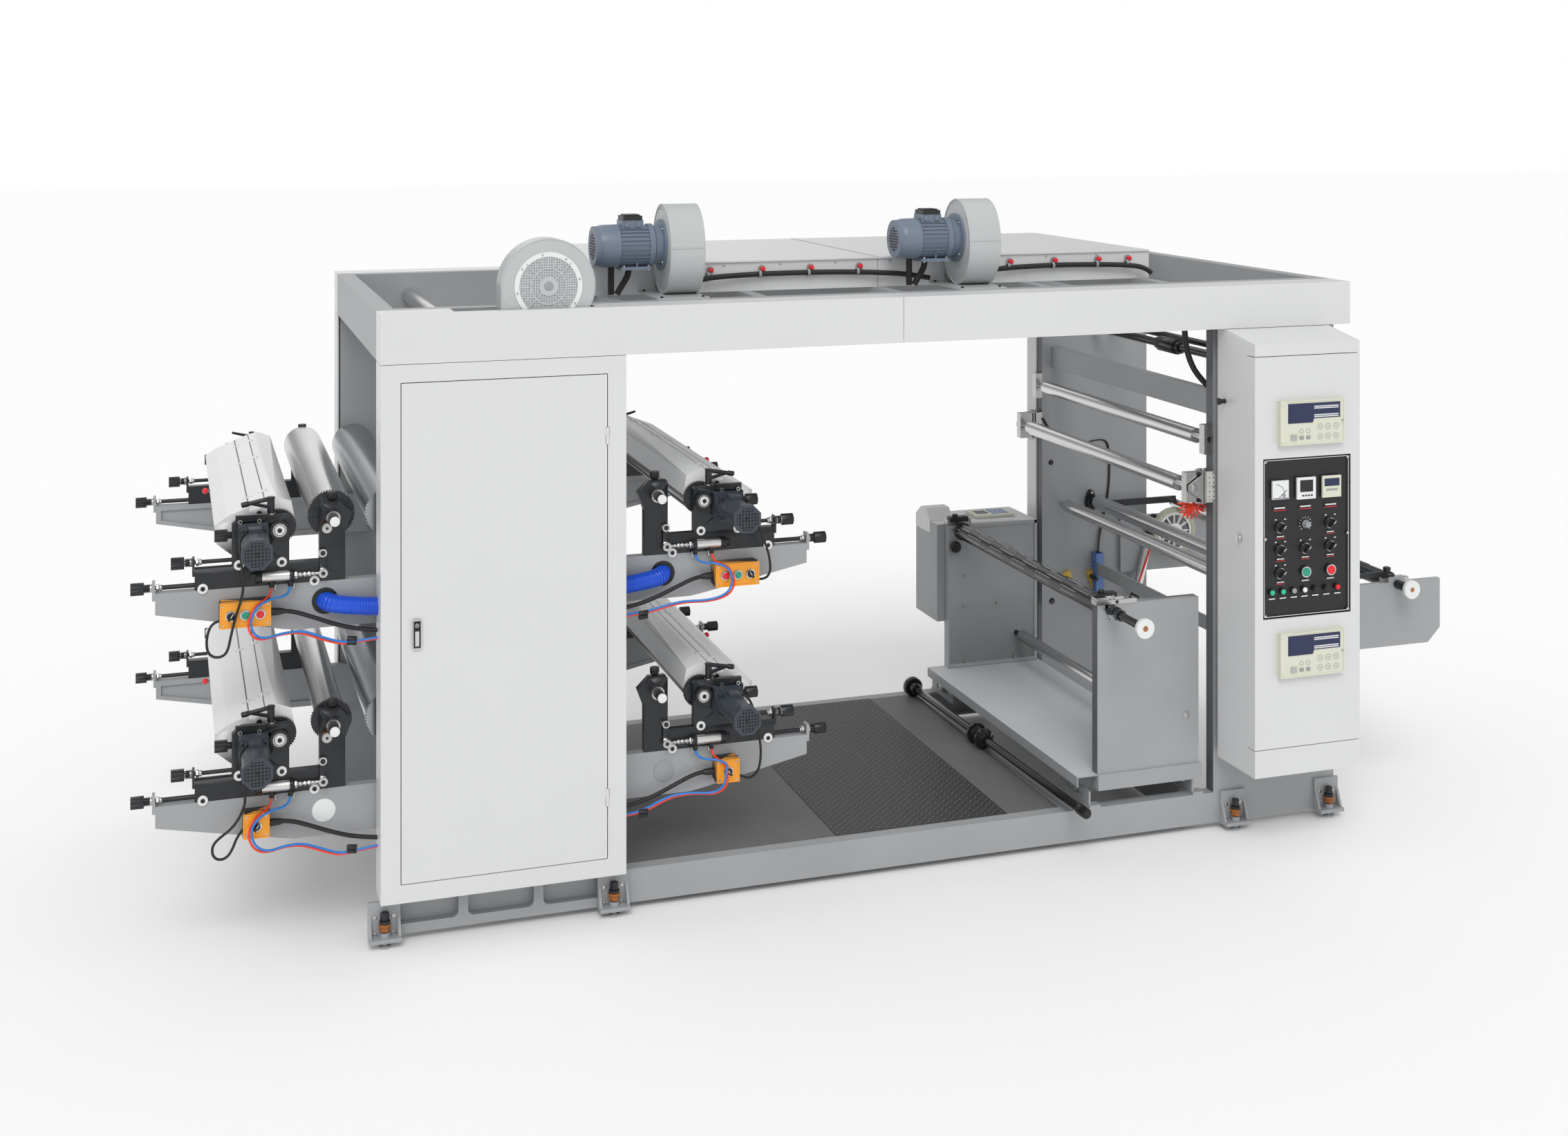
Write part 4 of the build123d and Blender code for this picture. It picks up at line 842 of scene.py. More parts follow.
def dressUnits():
    for side in ("left", "right"):
        for level in ("upper", "lower"):
            name = side + "_" + level
            ink = "ink_unit_" + name
            carriage = "plate_carriage_" + name
            dressedCopy(ink, inkRegions, side, level)
            dressedCopy(carriage, carriageRegions, side, level)
            dressedCopy("anilox_roller_" + name, aniloxRegions, side, level)
            dressedCopy("ink_lid_" + name, lidRegions, side, level)
            if side == "left":
                dressedCopy("plate_cylinder_" + name, plateRegions, side, level)
            slate, dark, screws = motorDetail()
            make("motor_fittings_" + name, ink,
                 [(gearMotorPaint, onUnit(slate, side, level)), (blackPlastic, onUnit(dark, side, level)),
                  (blackSteel, onUnit(screws, side, level))])
            black, steel, seam, white, lidLeaves, lidScrews = inkDetail()
            make("lid_hinges_" + name, "ink_lid_" + name,
                 [(coverPaint, onUnit(lidLeaves, side, level)),
                  (groundSteel, onUnit(lidScrews, side, level))])
            whites = []
            blacks = []
            for x, h in unit["inkWashers"]:
                disc, bolt = washer(x, h, 152)
                whites.append(disc)
                blacks.append(bolt)
            make("ink_fittings_" + name, ink,
                 [(blackSteel, onUnit(black + blacks, side, level)),
                  (groundSteel, onUnit(steel, side, level)),
                  (blackPlastic, onUnit(seam, side, level)), (whitePlastic, onUnit(whites, side, level)),
                  (coverPaint, onUnit(white, side, level))])
            steel, black, white = adjusterFittings()
            half = len(black) // 2
            screws = bothSides(steel[:3])
            make("plate_adjusters_" + name, carriage,
                 [(groundSteel, onUnit(screws, side, level)),
                  (blackPlastic, onUnit(bothSides(black[:half]), side, level)),
                  (whitePlastic, onUnit(bothSides(white[:10]), side, level))])
            make("ink_adjusters_" + name, ink,
                 [(groundSteel, onUnit(bothSides(steel[3:]), side, level)),
                  (blackPlastic, onUnit(bothSides(black[half:]), side, level)),
                  (whitePlastic, onUnit(bothSides(white[10:]), side, level))])
            dark, steel = throwDetail()
            whites = []
            for x, h in unit["carriageWashers"]:
                disc, bolt = washer(x, h, 151)
                whites.append(disc)
                dark.append(bolt)
            x, h = unit["plateAxis"]
            knob = turned([(256, 7), (272, 7), (273, 12), (279, 15), (284, 18), (298, 18), (303, 15)],
                          (x, 170, 0), "z", 40, 0.16, 8)
            dark.append(knob)
            make("throw_fittings_" + name, carriage,
                 [(blackPlastic, onUnit(dark, side, level)), (groundSteel, onUnit(steel, side, level)),
                  (whitePlastic, onUnit(whites, side, level))])
            disc, bolt = washer(*unit["aniloxAxis"], 134)
            band = ring("y", (unit["aniloxAxis"][0], 0, unit["aniloxAxis"][1]), 131, 134, 19, 23, 36)
            make("anilox_cap_" + name, "anilox_roller_" + name,
                 [(whitePlastic, onUnit([disc], side, level)), (groundSteel, onUnit([band], side, level)),
                  (blackSteel, onUnit([bolt], side, level))])
            stub = unitStub(side)
            carrier = "plate_cylinder_" + name if side == "left" else carriage
            make("plate_stub_" + name, carrier,
                 [(finish, onUnit(shapes, side, level)) for finish, shapes in stub])
            unitLeads(side, level)


def unitStub(side):
    # the plate cylinder's shaft end: knurled black grip with a white end; the right units show it
    # with no cylinder
    x, h = unit["plateAxis"]
    centre = (x, 0, h)
    grip = [turned([(64, 15.5), (66, 17.5), (110, 17.5), (112, 15.5)], centre, "y", 48, 0.06, 24)]
    steel = [ring("y", centre, 118, 130, 15.2, 24, 32), ring("y", centre, 130, 150, 15.2, 21, 32)]
    white = [rod("y", centre, 55, 64, 17, 32, 2.0)]
    if side == "right":
        grip.append(rod("y", centre, 110, 152, 14.8, 24))
        return [(blackSteel, grip), (groundSteel, steel), (whitePlastic, white)]
    low = (x - 24, 0, h - 26)
    brass = [rod("y", low, 92, 150, 13, 28, 1.0)]
    steel.append(rod("y", low, 82, 92, 17, 28, 1.5))
    black = [rod("y", low, 80.5, 84, 5, 14)]
    return [(blackSteel, grip + black), (groundSteel, steel), (whitePlastic, white), (copper, brass)]


dressUnits()
controlBoxes()
print("printing units, their leads and tubes")


# Blowers and drying hoods

blower = {"casingXs": (1078, 2280), "casingWidth": 128, "axisY": 340, "axisZ": 2359, "halfDepth": 137,
          "halfHeight": 169, "motorZ": 2375, "motorLength": 267,
          "frontAxis": (587, 2261), "frontFace": 42, "frontRadius": 168, "meshRadius": 104, "meshPitch": 9}


def blowerMotor(x):
    # fan cover with rounded end and black pegs painted as the shade in its slots, finned body, flange,
    # terminal box, foot and drop cables
    z = blower["motorZ"]
    y = blower["axisY"]
    left = x - blower["motorLength"]
    centre = (0, y, z)
    paintParts = [turned([(left - 1, 38), (left, 52), (left + 6, 66), (left + 18, 75), (left + 34, 79),
                          (left + 92, 80), (left + 94, 78)], centre, "x", 48)]
    fins = 30
    for k in range(fins):
        angle = 2 * pi * (k + 0.5) / fins
        if abs(angle - pi / 2) < 0.42:
            continue
        fin = brick(left + 94, x - 62, -1.7, 1.7, 68, 80)
        fin = leaning(fin, "x", angle - pi / 2, (0, 0, 0))
        paintParts.append((fin[0] + centre, fin[1]))
    paintParts.append(turned([(x - 66, 76), (x - 62, 81), (x - 44, 81), (x - 38, 74), (x - 14, 70),
                              (x - 12, 96),
                              (x - 1, 96)], centre, "x", 48))
    paintParts.append(brick(x - 165, x - 82, y - 40, y + 40, z + 66, z + 96))
    paintParts.append(brick(x - 170, x - 58, y - 58, y + 58, z - 88, z - 76))
    paintParts.append(brick(x - 112, x - 106, y - 50, y + 50, z - 78, z - 60))
    for dy in (-22, 22):
        paintParts.append(rod("y", (x - 124 + dy, 0, z + 80), y - 46, y - 38, 11, 20, 1.5))
    black = [brick(x - 160, x - 87, y - 42, y + 42, z + 96, z + 112),
             brick(x - 152, x - 95, y - 34, y + 34, z + 112, z + 117)]
    steel = []
    for sx in (-62, 62):
        steel.append(rod("z", (x - 112 + sx * 0.75, y - 50, 0), z - 92, z - 70, 5, 12, 0.8))
        steel.append(rod("x", (0, y + sx * 0.86, z - 62), x - 16, x + 1, 5, 12, 0.8))
        steel.append(rod("x", (0, y + sx * 0.86, z + 62), x - 16, x + 1, 5, 12, 0.8))
    # black pegs on the cover's end stand for its air slots: painted shade, not openings
    slotShade = []
    for row in np.arange(-4, 5) * 10.5:
        for column in np.arange(-4, 5) * 10.5:
            far = (row * row + column * column) ** 0.5
            if far < 46:
                slotShade.append(rod("x", (0, y + column, z + row), left - 2.2,
                                 left - 0.6 + max(0, far - 30) * 0.25,
                                 3.6, 8))
    legs = []
    for lx, ly, bend in ((x - 190, y + 30, 0), (x - 120, y + 36, -46)):
        route = [(lx, ly, z - 70), (lx, ly, z - 110), (lx + bend * 0.4, ly, z - 140), (lx + bend, ly, 2190)]
        path = evenly(smoothLine(route), 12)[0]
        legs.append(tube(sweptGrid(path, 12, 14, (0.1, 1, 0.1))))
    return paintParts, black + slotShade, steel, legs


def frontIntake():
    # white flange, wire mesh over the impeller's ring and hub, three spokes, small screws
    x, z = blower["frontAxis"]
    y = blower["frontFace"]
    reach = blower["meshRadius"]
    centre = (x, 0, z)
    white = [ring("y", centre, y - 3, y + 0.5, reach, reach + 17, 64)]
    wires = []
    for offset in np.arange(-reach + 3, reach, blower["meshPitch"]):
        run = (reach * reach - offset * offset) ** 0.5
        wires.append(brick(x + offset - 0.9, x + offset + 0.9, y - 2.4, y - 0.9, z - run, z + run))
        wires.append(brick(x - run, x + run, y - 1.8, y - 0.3, z + offset - 0.9, z + offset + 0.9))
    grey = [ring("y", centre, y - 4, y - 0.5, 60, 66, 48), ring("y", centre, y - 5, y - 0.5, 17, 34, 40)]
    for k in range(4):
        spoke = brick(x - 2.5, x + 2.5, y - 4.2, y - 2.2, z + 30, z + reach + 8)
        grey.append(leaning(spoke, "y", pi / 4 + k * pi / 2, centre))
    dark = [rod("y", centre, y - 0.8, y - 0.15, reach, 48), rod("y", centre, y - 6, y - 3, 17, 24, 1.5)]
    steel = []
    for k in range(8):
        angle = k * pi / 4 + 0.2
        steel.append(rod("y", (x + (reach + 9) * cos(angle), 0, z + (reach + 9) * sin(angle)), y - 5.5,
                         y - 2.5,
                         3.6, 12, 0.8))
    blades = []
    for k in range(24):
        blade = brick(x - 0.8, x + 0.8, y - 0.9, y - 0.2, z + 68, z + 98)
        blades.append(leaning(blade, "y", k * pi / 12, centre))
    make("front_blower_intake", "stand",
         [(whitePlastic, white), (meshWhite, wires + blades), (blowerPaint, grey),
                                          (greyPlastic, dark), (groundSteel, steel)])


looms = {
    "left": [(1206, 400, 2212), (1236, 420, 2228), (1300, 440, 2236), (1400, 452, 2240), (1540, 458, 2243),
             (1720, 459, 2243), (1880, 456, 2240), (2010, 450, 2234), (2120, 440, 2226), (2200, 420, 2210)],
    "right": [(2408, 400, 2212), (2440, 425, 2226), (2510, 446, 2236), (2620, 456, 2240), (2790, 460, 2243),
              (2960, 456, 2240), (3090, 450, 2236), (3180, 440, 2224), (3204, 436, 2200)],
    "radius": 11, "pitch": 7.0, "clips": (1290, 1500, 1700, 1905, 2560, 2760, 2960, 3100),
}


def dressTop():
    regions = [(blowerPaint, *everywhere)]
    dressedCopy("blower_casings", regions, sharp=25)
    dressedCopy("blower_motors", [(blowerMotorPaint, *everywhere)], sharp=25)
    for k, x in enumerate(blower["casingXs"]):
        paintParts, black, steel, legs = blowerMotor(x)
        make("blower_motor_fittings_%d" % (k + 1), "stand",
             [(blowerMotorPaint, paintParts), (blackPlastic, black), (groundSteel, steel),
              (blackRubber, legs)])
        rims = []
        for face in (x, x + blower["casingWidth"]):
            angles = np.linspace(0, 2 * pi, 73)
            loop = np.stack([np.full(73, face), blower["axisY"] + (blower["halfDepth"] - 2) * np.cos(angles),
                             blower["axisZ"] + (blower["halfHeight"] - 2) * np.sin(angles)], -1)
            grid = sweptGrid(loop, 3.2, 8, (1, 0.01, 0.02))
            rims.append((grid[:-1].reshape(-1, 3), gridFaces(72, 8, closeRows=True, closeColumns=True)))
        seam = brick(x + 1, x + blower["casingWidth"] - 1, 340 - blower["halfDepth"] - 1.5,
                     340 - blower["halfDepth"] + 2, 2368, 2371)
        bolts = [rod("z", (bx, by, 0), 2188, 2196, 6, 6, 0.8) for bx in (x - 40, x + 118) for by in (190,
                                                                                                     460)]
        disc = ring("x", (0, blower["axisY"], blower["motorZ"]), x - 3, x + 1, 96, 112, 48)
        make("blower_rims_%d" % (k + 1), "stand", [(blowerPaint, rims + [seam, disc]), (blackSteel, bolts)],
             50)
    frontIntake()
    x, z = blower["frontAxis"]
    angles = np.linspace(-0.35, pi + 0.35, 61)
    lip = np.stack([x + (blower["frontRadius"] - 2) * np.cos(angles), np.full(61, blower["frontFace"] + 1.0),
                    z + (blower["frontRadius"] - 2) * np.sin(angles)], -1)
    make("front_blower_lip", "stand", [(blowerPaint, [tube(sweptGrid(lip, 3.0, 8, (0.01, 1, 0.02)))])],
         60)
    clips = []
    reds = []
    for side in ("left", "right"):
        path, marks = evenly(smoothLine(looms[side]), 1.75)
        wave = looms["radius"] * (0.94 + 0.06 * np.cos(2 * pi * marks / looms["pitch"]))
        make("cable_loom_" + side, "stand", [(blackRubber, [tube(sweptGrid(path, wave, 12))])], sharp=60)
    for x in looms["clips"]:
        clips.append(ring("x", (0, 457, 2242), x - 5, x + 5, 11.5, 14.5, 24))
        clips.append(brick(x - 5, x + 5, 468, 478.5, 2236, 2248))
        reds.append(rod("y", (x + 14, 0, 2262), 452, 478.5, 9, 18, 2.0))
        clips.append(ring("y", (x + 14, 0, 2262), 470, 478.4, 9.2, 14, 24))
    make("loom_clips", "stand", [(greyPlastic, clips), (redPlastic, reds)])
    edges = [brick(830, 3215, 470, 479, 2289, 2294.5), brick(1997, 2003, 479, 1560, 2293.6, 2295.2)]
    screws = []
    for x in np.arange(900, 3200, 230):
        screws.append(rod("y", (x, 0, 2279), 475.5, 479, 5, 14, 0.8))
    make("hood_trim", "stand", [(whitePaint, edges[:1]), (greyPlastic, edges[1:]), (groundSteel, screws)])


dressTop()
print("blowers, hoods and looms")


# Control cabinet and print stand door

panel = {"knobs": [(3405, 1262), (3630, 1266), (3405, 1175), (3517, 1175), (3630, 1176),
                                 (3405, 1085)],
         "dial": (3517, 1270), "green": (3517, 1084), "red": (3630, 1084), "lampZ": 1014,
         "lampXs": (3367, 3416, 3465, 3513, 3562, 3612, 3662), "meterXs": (3401, 3517, 3632), "meterZ": 1410,
         "frame": (3325, 3721, 912, 1532), "controllerXs": (3386, 3676), "controllerZs": (686, 1584)}


def panelFittings():
    y = frontOf("control_panel")
    groups = {"black": [], "chrome": [], "white": [], "green": [], "red": [], "lit": [], "grey": [],
              "navy": [],
              "cream": []}
    x0, x1, z0, z1 = panel["frame"]
    outer, inner = ([(x0 + inset, z0 + inset), (x1 - inset, z0 + inset), (x1 - inset, z1 - inset),
                     (x0 + inset, z1 - inset)] for inset in (7, 9))
    groups["white"].append(frameLoop(outer, inner, "y", y - 0.5, y + 0.2))
    for x, z in panel["knobs"]:
        groups["black"].append(rod("y", (x, 0, z), y - 10, y, 19, 32, 2.0))
        groups["chrome"].append(ring("y", (x, 0, z), y - 3, y, 19, 21, 32))
        grip = brick(x - 5.5, x + 5.5, y - 26, y - 9, z - 16, z + 16)
        groups["black"].append(leaning(grip, "y", -0.7, (x, 0, z)))
        line = brick(x - 1.2, x + 1.2, y - 26.8, y - 25.8, z + 1, z + 15)
        groups["white"].append(leaning(line, "y", -0.7, (x, 0, z)))
        for sx in (-21, 21):
            groups["white"].append(brick(x + sx - 4, x + sx + 4, y - 0.5, y + 0.2, z + 30, z + 34))
        groups["white"].append(brick(x - 16, x + 16, y - 0.5, y + 0.2, z - 36, z - 32))
        groups["red"].append(brick(x - 19, x + 19, y - 0.5, y + 0.2, z - 42, z - 40))
    x, z = panel["dial"]
    groups["grey"].append(turned([(y - 24, 10), (y - 22, 12), (y - 8, 12.5), (y - 8, 16), (y, 16)], (x, 0, z),
                                 "y",
                                 36, 0.08, 18))
    for k in range(11):
        tick = brick(x - 0.8, x + 0.8, y - 0.5, y + 0.2, z + 22, z + 29)
        groups["white"].append(leaning(tick, "y", -2.36 + k * 0.472, (x, 0, z)))
    for key in ("green", "red"):
        x, z = panel[key]
        groups["chrome"].append(ring("y", (x, 0, z), y - 9, y, 17, 21, 36))
        groups[key].append(rod("y", (x, 0, z), y - 12, y - 4, 16.8, 36, 1.5))
        groups["white"].append(brick(x - 16, x + 16, y - 0.5, y + 0.2, z - 36, z - 32))
    for x, key in zip(panel["lampXs"], ("lit", "lit", "grey", "white", "black", "black", "red")):
        groups["black"].append(ring("y", (x, 0, panel["lampZ"]), y - 4, y, 10, 13, 28))
        groups[key].append(rod("y", (x, 0, panel["lampZ"]), y - 8, y - 1, 10, 24, 2.0))
        groups["white"].append(brick(x - 14, x + 14, y - 0.5, y + 0.2, panel["lampZ"] - 27,
                                     panel["lampZ"] - 23))
    z = panel["meterZ"]
    for k, x in enumerate(panel["meterXs"]):
        half = (36, 42, 42)[k]
        shell = ("white", "white", "cream")[k]
        groups[shell].append(brick(x - half, x + half, y - 9, y, z - half, z + half))
        groups["white"].append(brick(x - 24, x + 24, y - 0.5, y + 0.2, z - 74, z - 69))
        groups["red"].append(brick(x - 28, x + 28, y - 0.5, y + 0.2, z - 82, z - 79.5))
    x = panel["meterXs"][0]
    angles = np.linspace(0.25, pi / 2 - 0.1, 12)
    for angle in angles:
        tick = brick(x - 24 + 42 * cos(angle) - 0.6, x - 24 + 42 * cos(angle) + 0.6, y - 9.6, y - 8.8,
                     z - 20 + 42 * sin(angle) - 2.5, z - 20 + 42 * sin(angle) + 2.5)
        groups["black"].append(tick)
    groups["black"].append(leaning(brick(x - 1, x + 1, y - 9.8, y - 8.8, z - 24, z + 20), "y", -0.9,
                                   (x - 8, 0, z - 20)))
    groups["grey"].append(rod("y", (x + 15, 0, z - 22), y - 12, y - 8.8, 7, 20, 1.0))
    groups["navy"].append(brick(x - 33, x + 33, y - 9.4, y - 8.9, z - 34, z - 31))
    x = panel["meterXs"][1]
    groups["black"].append(brick(x - 29, x + 29, y - 9.6, y - 8.9, z - 14, z + 32))
    for k in range(4):
        groups["black"].append(brick(x - 20 + k * 13, x - 12 + k * 13, y - 10.4, y - 8.9, z - 31, z - 25))
    x = panel["meterXs"][2]
    groups["navy"].append(brick(x - 34, x + 34, y - 9.6, y - 8.9, z + 2, z + 32))
    for k in range(6):
        groups["grey"].append(brick(x - 26 + k * 9, x - 20 + k * 9, y - 10.4, y - 8.9, z - 16, z - 8))
    for x in (x0 + 12, x1 - 12):
        for z in (z0 + 12, (z0 + z1) / 2, z1 - 12):
            groups["chrome"].append(rod("y", (x, 0, z), y - 3, y, 6, 18, 1.2))
    make("control_panel_fittings", "cabinet_door",
         [(blackPlastic, groups["black"]), (chromeSteel, groups["chrome"]), (whitePlastic, groups["white"]),
          (greenPlastic, groups["green"]), (redPlastic, groups["red"]), (litGreen, groups["lit"]),
          (greyPlastic, groups["grey"]), (navyDisplay, groups["navy"]), (creamPlastic, groups["cream"])])


def controllerFittings():
    # rim, hinged left edge, navy window with a lit display, two light bars, and rows of keys
    y = frontOf("tension_controllers")
    x0, x1 = panel["controllerXs"]
    cream, navy, display, light, keys, black = [], [], [], [], [], []
    for z0 in panel["controllerZs"]:
        z1 = z0 + 172
        outer = [(x0, z0), (x1, z0), (x1, z1), (x0, z1)]
        inner = [(x0 + 5, z0 + 5), (x1 - 5, z0 + 5), (x1 - 5, z1 - 5), (x0 + 5, z1 - 5)]
        cream.append(frameLoop(outer, inner, "y", y - 2.5, y + 1))
        cream.append(brick(x0 + 5, x0 + 20, y - 3.5, y + 1, z0 + 4, z1 - 4))
        for z in (z0 + 14, z1 - 14):
            cream.append(rod("x", (0, y - 3, z), x0 + 3, x0 + 18, 4, 14, 1.0))
        navy.append(prism([(x0 + 36, z0 + 84), (x0 + 146, z0 + 84), (x0 + 152, z0 + 100), (x1 - 20, z0 + 100),
                           (x1 - 20, z1 - 12), (x0 + 36, z1 - 12)], "y", y - 1.6, y + 0.5))
        display.append(brick(x0 + 46, x0 + 132, y - 2.2, y - 1.4, z0 + 92, z1 - 20))
        for dz in (60, 53, 27, 20):
            light.append(brick(x0 + 152, x1 - 28, y - 2.1, y - 1.4, z0 + 92 + dz - 8, z0 + 96 + dz - 8))
        for k in range(3):
            for z in (z0 + 66, z0 + 28):
                x = x1 - 110 + k * 36
                outer = polygon((x, z), 12, 20)
                inner = polygon((x, z), 10.4, 20)
                black.append(frameLoop(outer, inner, "y", y - 0.8, y + 0.2))
                black.append(brick(x - 4, x + 4, y - 0.8, y + 0.2, z - 1.6, z + 1.6))
        for k in range(2):
            x = x0 + 96 + k * 30
            black.append(brick(x - 9, x + 9, y - 1.8, y + 0.2, z0 + 20, z0 + 34))
            black.append(frameLoop(polygon((x, z0 + 52), 10, 6), polygon((x, z0 + 52), 8.4, 6), "y", y - 0.8,
                                   y + 0.2))
        keys.append(brick(x0 + 48, x0 + 74, y - 3.5, y + 0.2, z0 + 18, z0 + 40))
        keys.append(rod("y", (x1 - 9, 0, z0 + 86), y - 3.6, y, 4.5, 16, 1.0))
    make("controller_fittings", "cabinet_door",
         [(creamPlastic, cream), (navyDisplay, navy), (navyDisplay, display), (whitePlastic, light),
          (groundSteel, keys), (greyPlastic, black)])


def doorFittings():
    # the flush pull's chrome frame and grip, on the print stand's door
    face = frontOf("print_door")
    x, z = 122, 1087
    outer = [(x - 16, z - 52), (x + 16, z - 52), (x + 16, z + 52), (x - 16, z + 52)]
    inner = [(x - 12, z - 46), (x + 12, z - 46), (x + 12, z + 46), (x - 12, z + 46)]
    rim = frameLoop(outer, inner, "y", face - 3, face + 2)
    grip = brick(x - 7, x + 7, face - 5, face + 4, z - 40, z + 12)
    button = rod("y", (x, 0, z + 30), face - 3, face + 4, 8, 24, 1.5)
    dark = brick(x - 12, x + 12, face + 3, face + 6, z - 46, z + 46)
    make("print_door_pull", "print_door", [(chromeSteel, [rim, grip, button]), (blackPlastic, [dark])],
         bevel=1.5)
    catch = [rod("x", (0, 3, 1727), 3262, 3290, 9, 20, 2.0), rod("x", (0, 3, 1727), 3254, 3266, 14, 24, 3.0)]
    latch = [rod("x", (0, -112, 1211), 3276, 3290, 13, 24, 2.0), brick(3268, 3280, -118, -106, 1196, 1226)]
    make("cabinet_side_knob", "stand", [(blackPlastic, catch), (chromeSteel, latch)])


panelFittings()
controllerFittings()
doorFittings()
print("control cabinet and doors")


# Web stand, unwinding stand, rewind end, spare shaft, base

web = {"start": 3292, "tensionXZ": (3205, 1369), "cellSpan": (104, 150), "wheel": (3960, 1561, 830),
       "wheelRadius": 112, "cylinderLow": (3760, 1590, 500),
       "cylinderHigh": (3870, 1590, 900), "coilCentre": (3232, 160, 1255),
       "hose": [(3212, 184, 2010), (3216, 184, 1940), (3236, 184, 1866), (3274, 184, 1802),
                (3322, 184, 1758)]}


def loadCell(x, z, y0, y1):
    # the cell's block with four dots, steel flange with its bolts, and the pointed plate that
    # carries the shaft
    cream = [brick(web["start"] - 30, web["start"] + 12, y0 - 4, y0, z - 62, z + 62)]
    for z0 in (z + 6, z - 50):
        cream.append(brick(web["start"] - 26, web["start"] + 8, y0 - 8, y0 - 4, z0, z0 + 44))
    dark = []
    for dx in (-18, 2):
        for dz in (-38, -18, 18, 38):
            dark.append(rod("y", (web["start"] + dx, 0, z + dz), y0 - 9, y0 - 7, 2.6, 12))
    steel = [brick(web["start"] - 52, web["start"] - 44, y0 - 8, y1, z - 66, z + 66),
             brick(web["start"] - 40, web["start"] - 32, y0 - 8, y1, z - 64, z + 64)]
    point = [(web["start"] - 52, z - 50), (web["start"] - 52, z + 50), (x - 22, z + 12), (x - 24, z),
             (x - 22, z - 12)]
    steel.append(prism(point, "y", y0 - 6, y0 - 1))
    steel.append(rod("y", (x, 0, z), y0 - 12, y0 - 5, 15, 28, 2.0))
    for dx, dz in ((-58, 52), (-58, -52)):
        dark.append(rod("x", (0, (y0 + y1) / 2 - 12, z + dz), web["start"] - 68, web["start"] - 52, 9, 6,
                        1.0))
    for dx in (-48, -36, -20):
        steel.append(rod("z", (web["start"] + dx, (y0 + y1) / 2, 0), z + 62, z + 72, 6, 6, 1.0))
        steel.append(rod("z", (web["start"] + dx, (y0 + y1) / 2, 0), z - 72, z - 62, 6, 6, 1.0))
    return cream, dark, steel


def coiledTube():
    # twelve loops of a limp red coil fanned out below the load cell: each loop is a tilted ellipse in turn
    x, y, z = web["coilCentre"]
    loops = 11
    t = np.linspace(0, loops * 2 * pi, loops * 28 + 1)
    fan = np.interp(t, [0, loops * 2 * pi], [-1.9, 1.9])
    reach = 30 * (1 - np.cos(t))
    path = np.stack([x + reach * np.sin(fan) * 1.05 + 7 * np.cos(fan) * np.sin(t),
                     y + 10 * np.sin(t) + 3 * np.cos(fan * 3),
                     z + 34 - reach * np.cos(fan) * 0.95 + 7 * np.sin(fan) * np.sin(t)], -1)
    return tube(sweptGrid(path, 3.2, 8, (0.1, 1, 0.2)))


def webStand():
    x, z = web["tensionXZ"]
    y0, y1 = web["cellSpan"]
    cream, dark, steel = loadCell(x, z, y0, y1)
    make("load_cells", "stand", [(cellCream, bothSides(cream)), (blackSteel, bothSides(dark)),
                                 (groundSteel, bothSides(steel))], bevel=0.8)
    dressedCopy("web_brackets", [(groundSteel, *everywhere)])
    make("coiled_air_tube", "stand", [(tubeRed, [coiledTube()])], sharp=70)
    # black discs on the back plate stand for its holes: painted shade, not openings
    holeShade = [rod("y", (hx, 0, hz), 1639.2, 1640.2, radius, 32)
             for hx, hz, radius in ((3328, 938, 17), (3328, 362, 17), (3484, 1755, 30))]
    small = [rod("y", (hx, 0, hz), 1638.6, 1640.2, 5, 14, 0.8) for hx, hz in ((3487, 1422), (3400, 640))]
    bearing = [prism([(3545 + 34 * cos(a) * (0.75 + 0.25 * abs(sin(a)) ** 3) * 1.1,
                       985 + 34 * sin(a) * (1 + 0.75 * abs(sin(a)) ** 4)) for a in np.arange(36) * pi / 18],
                     "y", 1620, 1640),
               rod("y", (3545, 0, 985), 1600, 1624, 27, 28, 3.0)]
    white = [rod("y", (3545, 0, 985 + dz), 1613, 1622, 8, 6, 1.0) for dz in (-45, 45)]
    wires = []
    sag = [(3290, 1632, 1400), (3330, 1634, 1330), (3400, 1634, 1268), (3480, 1634, 1262), (3560, 1634, 1278),
           (3610, 1634, 1282), (3640, 1634, 1262), (3648, 1634, 1150), (3640, 1634, 1020), (3610, 1632, 900),
           (3584, 1628, 800), (3578, 1622, 740)]
    for shift in (0, 7):
        route = [(a + shift, b, c) for a, b, c in sag]
        path = evenly(smoothLine(route), 8)[0]
        wires.append(tube(sweptGrid(path, 2.6, 8, (0.1, 1, 0.1))))
    path = evenly(smoothLine(web["hose"]), 8)[0]
    hose = [tube(sweptGrid(path, 12, 20, (0.1, 1, 0.1)))]
    make("web_hose", "stand", [(blackRubber, hose)], sharp=60)
    shafts = [rod("y", (3560, 0, 1828), 148, 1639, 18, 32), rod("y", (3640, 0, 1850), 148, 1639, 15, 32),
              rod("y", (3560, 0, 1828), 830, 980, 34, 40, 4.0),
              rod("y", (3560, 0, 1828), 800, 1010, 26, 40, 3.0)]
    make("top_shafts", "stand", [(glossBlack, shafts)])
    duct = [brick(3556, 3596, 1588, 1592, 470, 742), brick(3556, 3559, 1592, 1634, 470, 742),
            brick(3593, 3596, 1592, 1634, 470, 742), brick(3556, 3596, 1634, 1638, 470, 742)]
    for k in range(14):
        duct.append(brick(3552, 3558, 1596, 1632, 476 + k * 19, 487 + k * 19))
    make("back_plate_fittings", "stand", [(blackSteel, holeShade + small + bearing), (groundSteel, white),
                                          (blackRubber, wires), (bluePlastic, duct)])
    # faces between x 3286 and 3293 take the darkened frame grey: painted shade on that side of the frames
    dressedCopy("web_side_frames",
                [(framePaint, *everywhere), (framePaintedShade, (3286, -999, -99), (3293, 9999, 2006))])


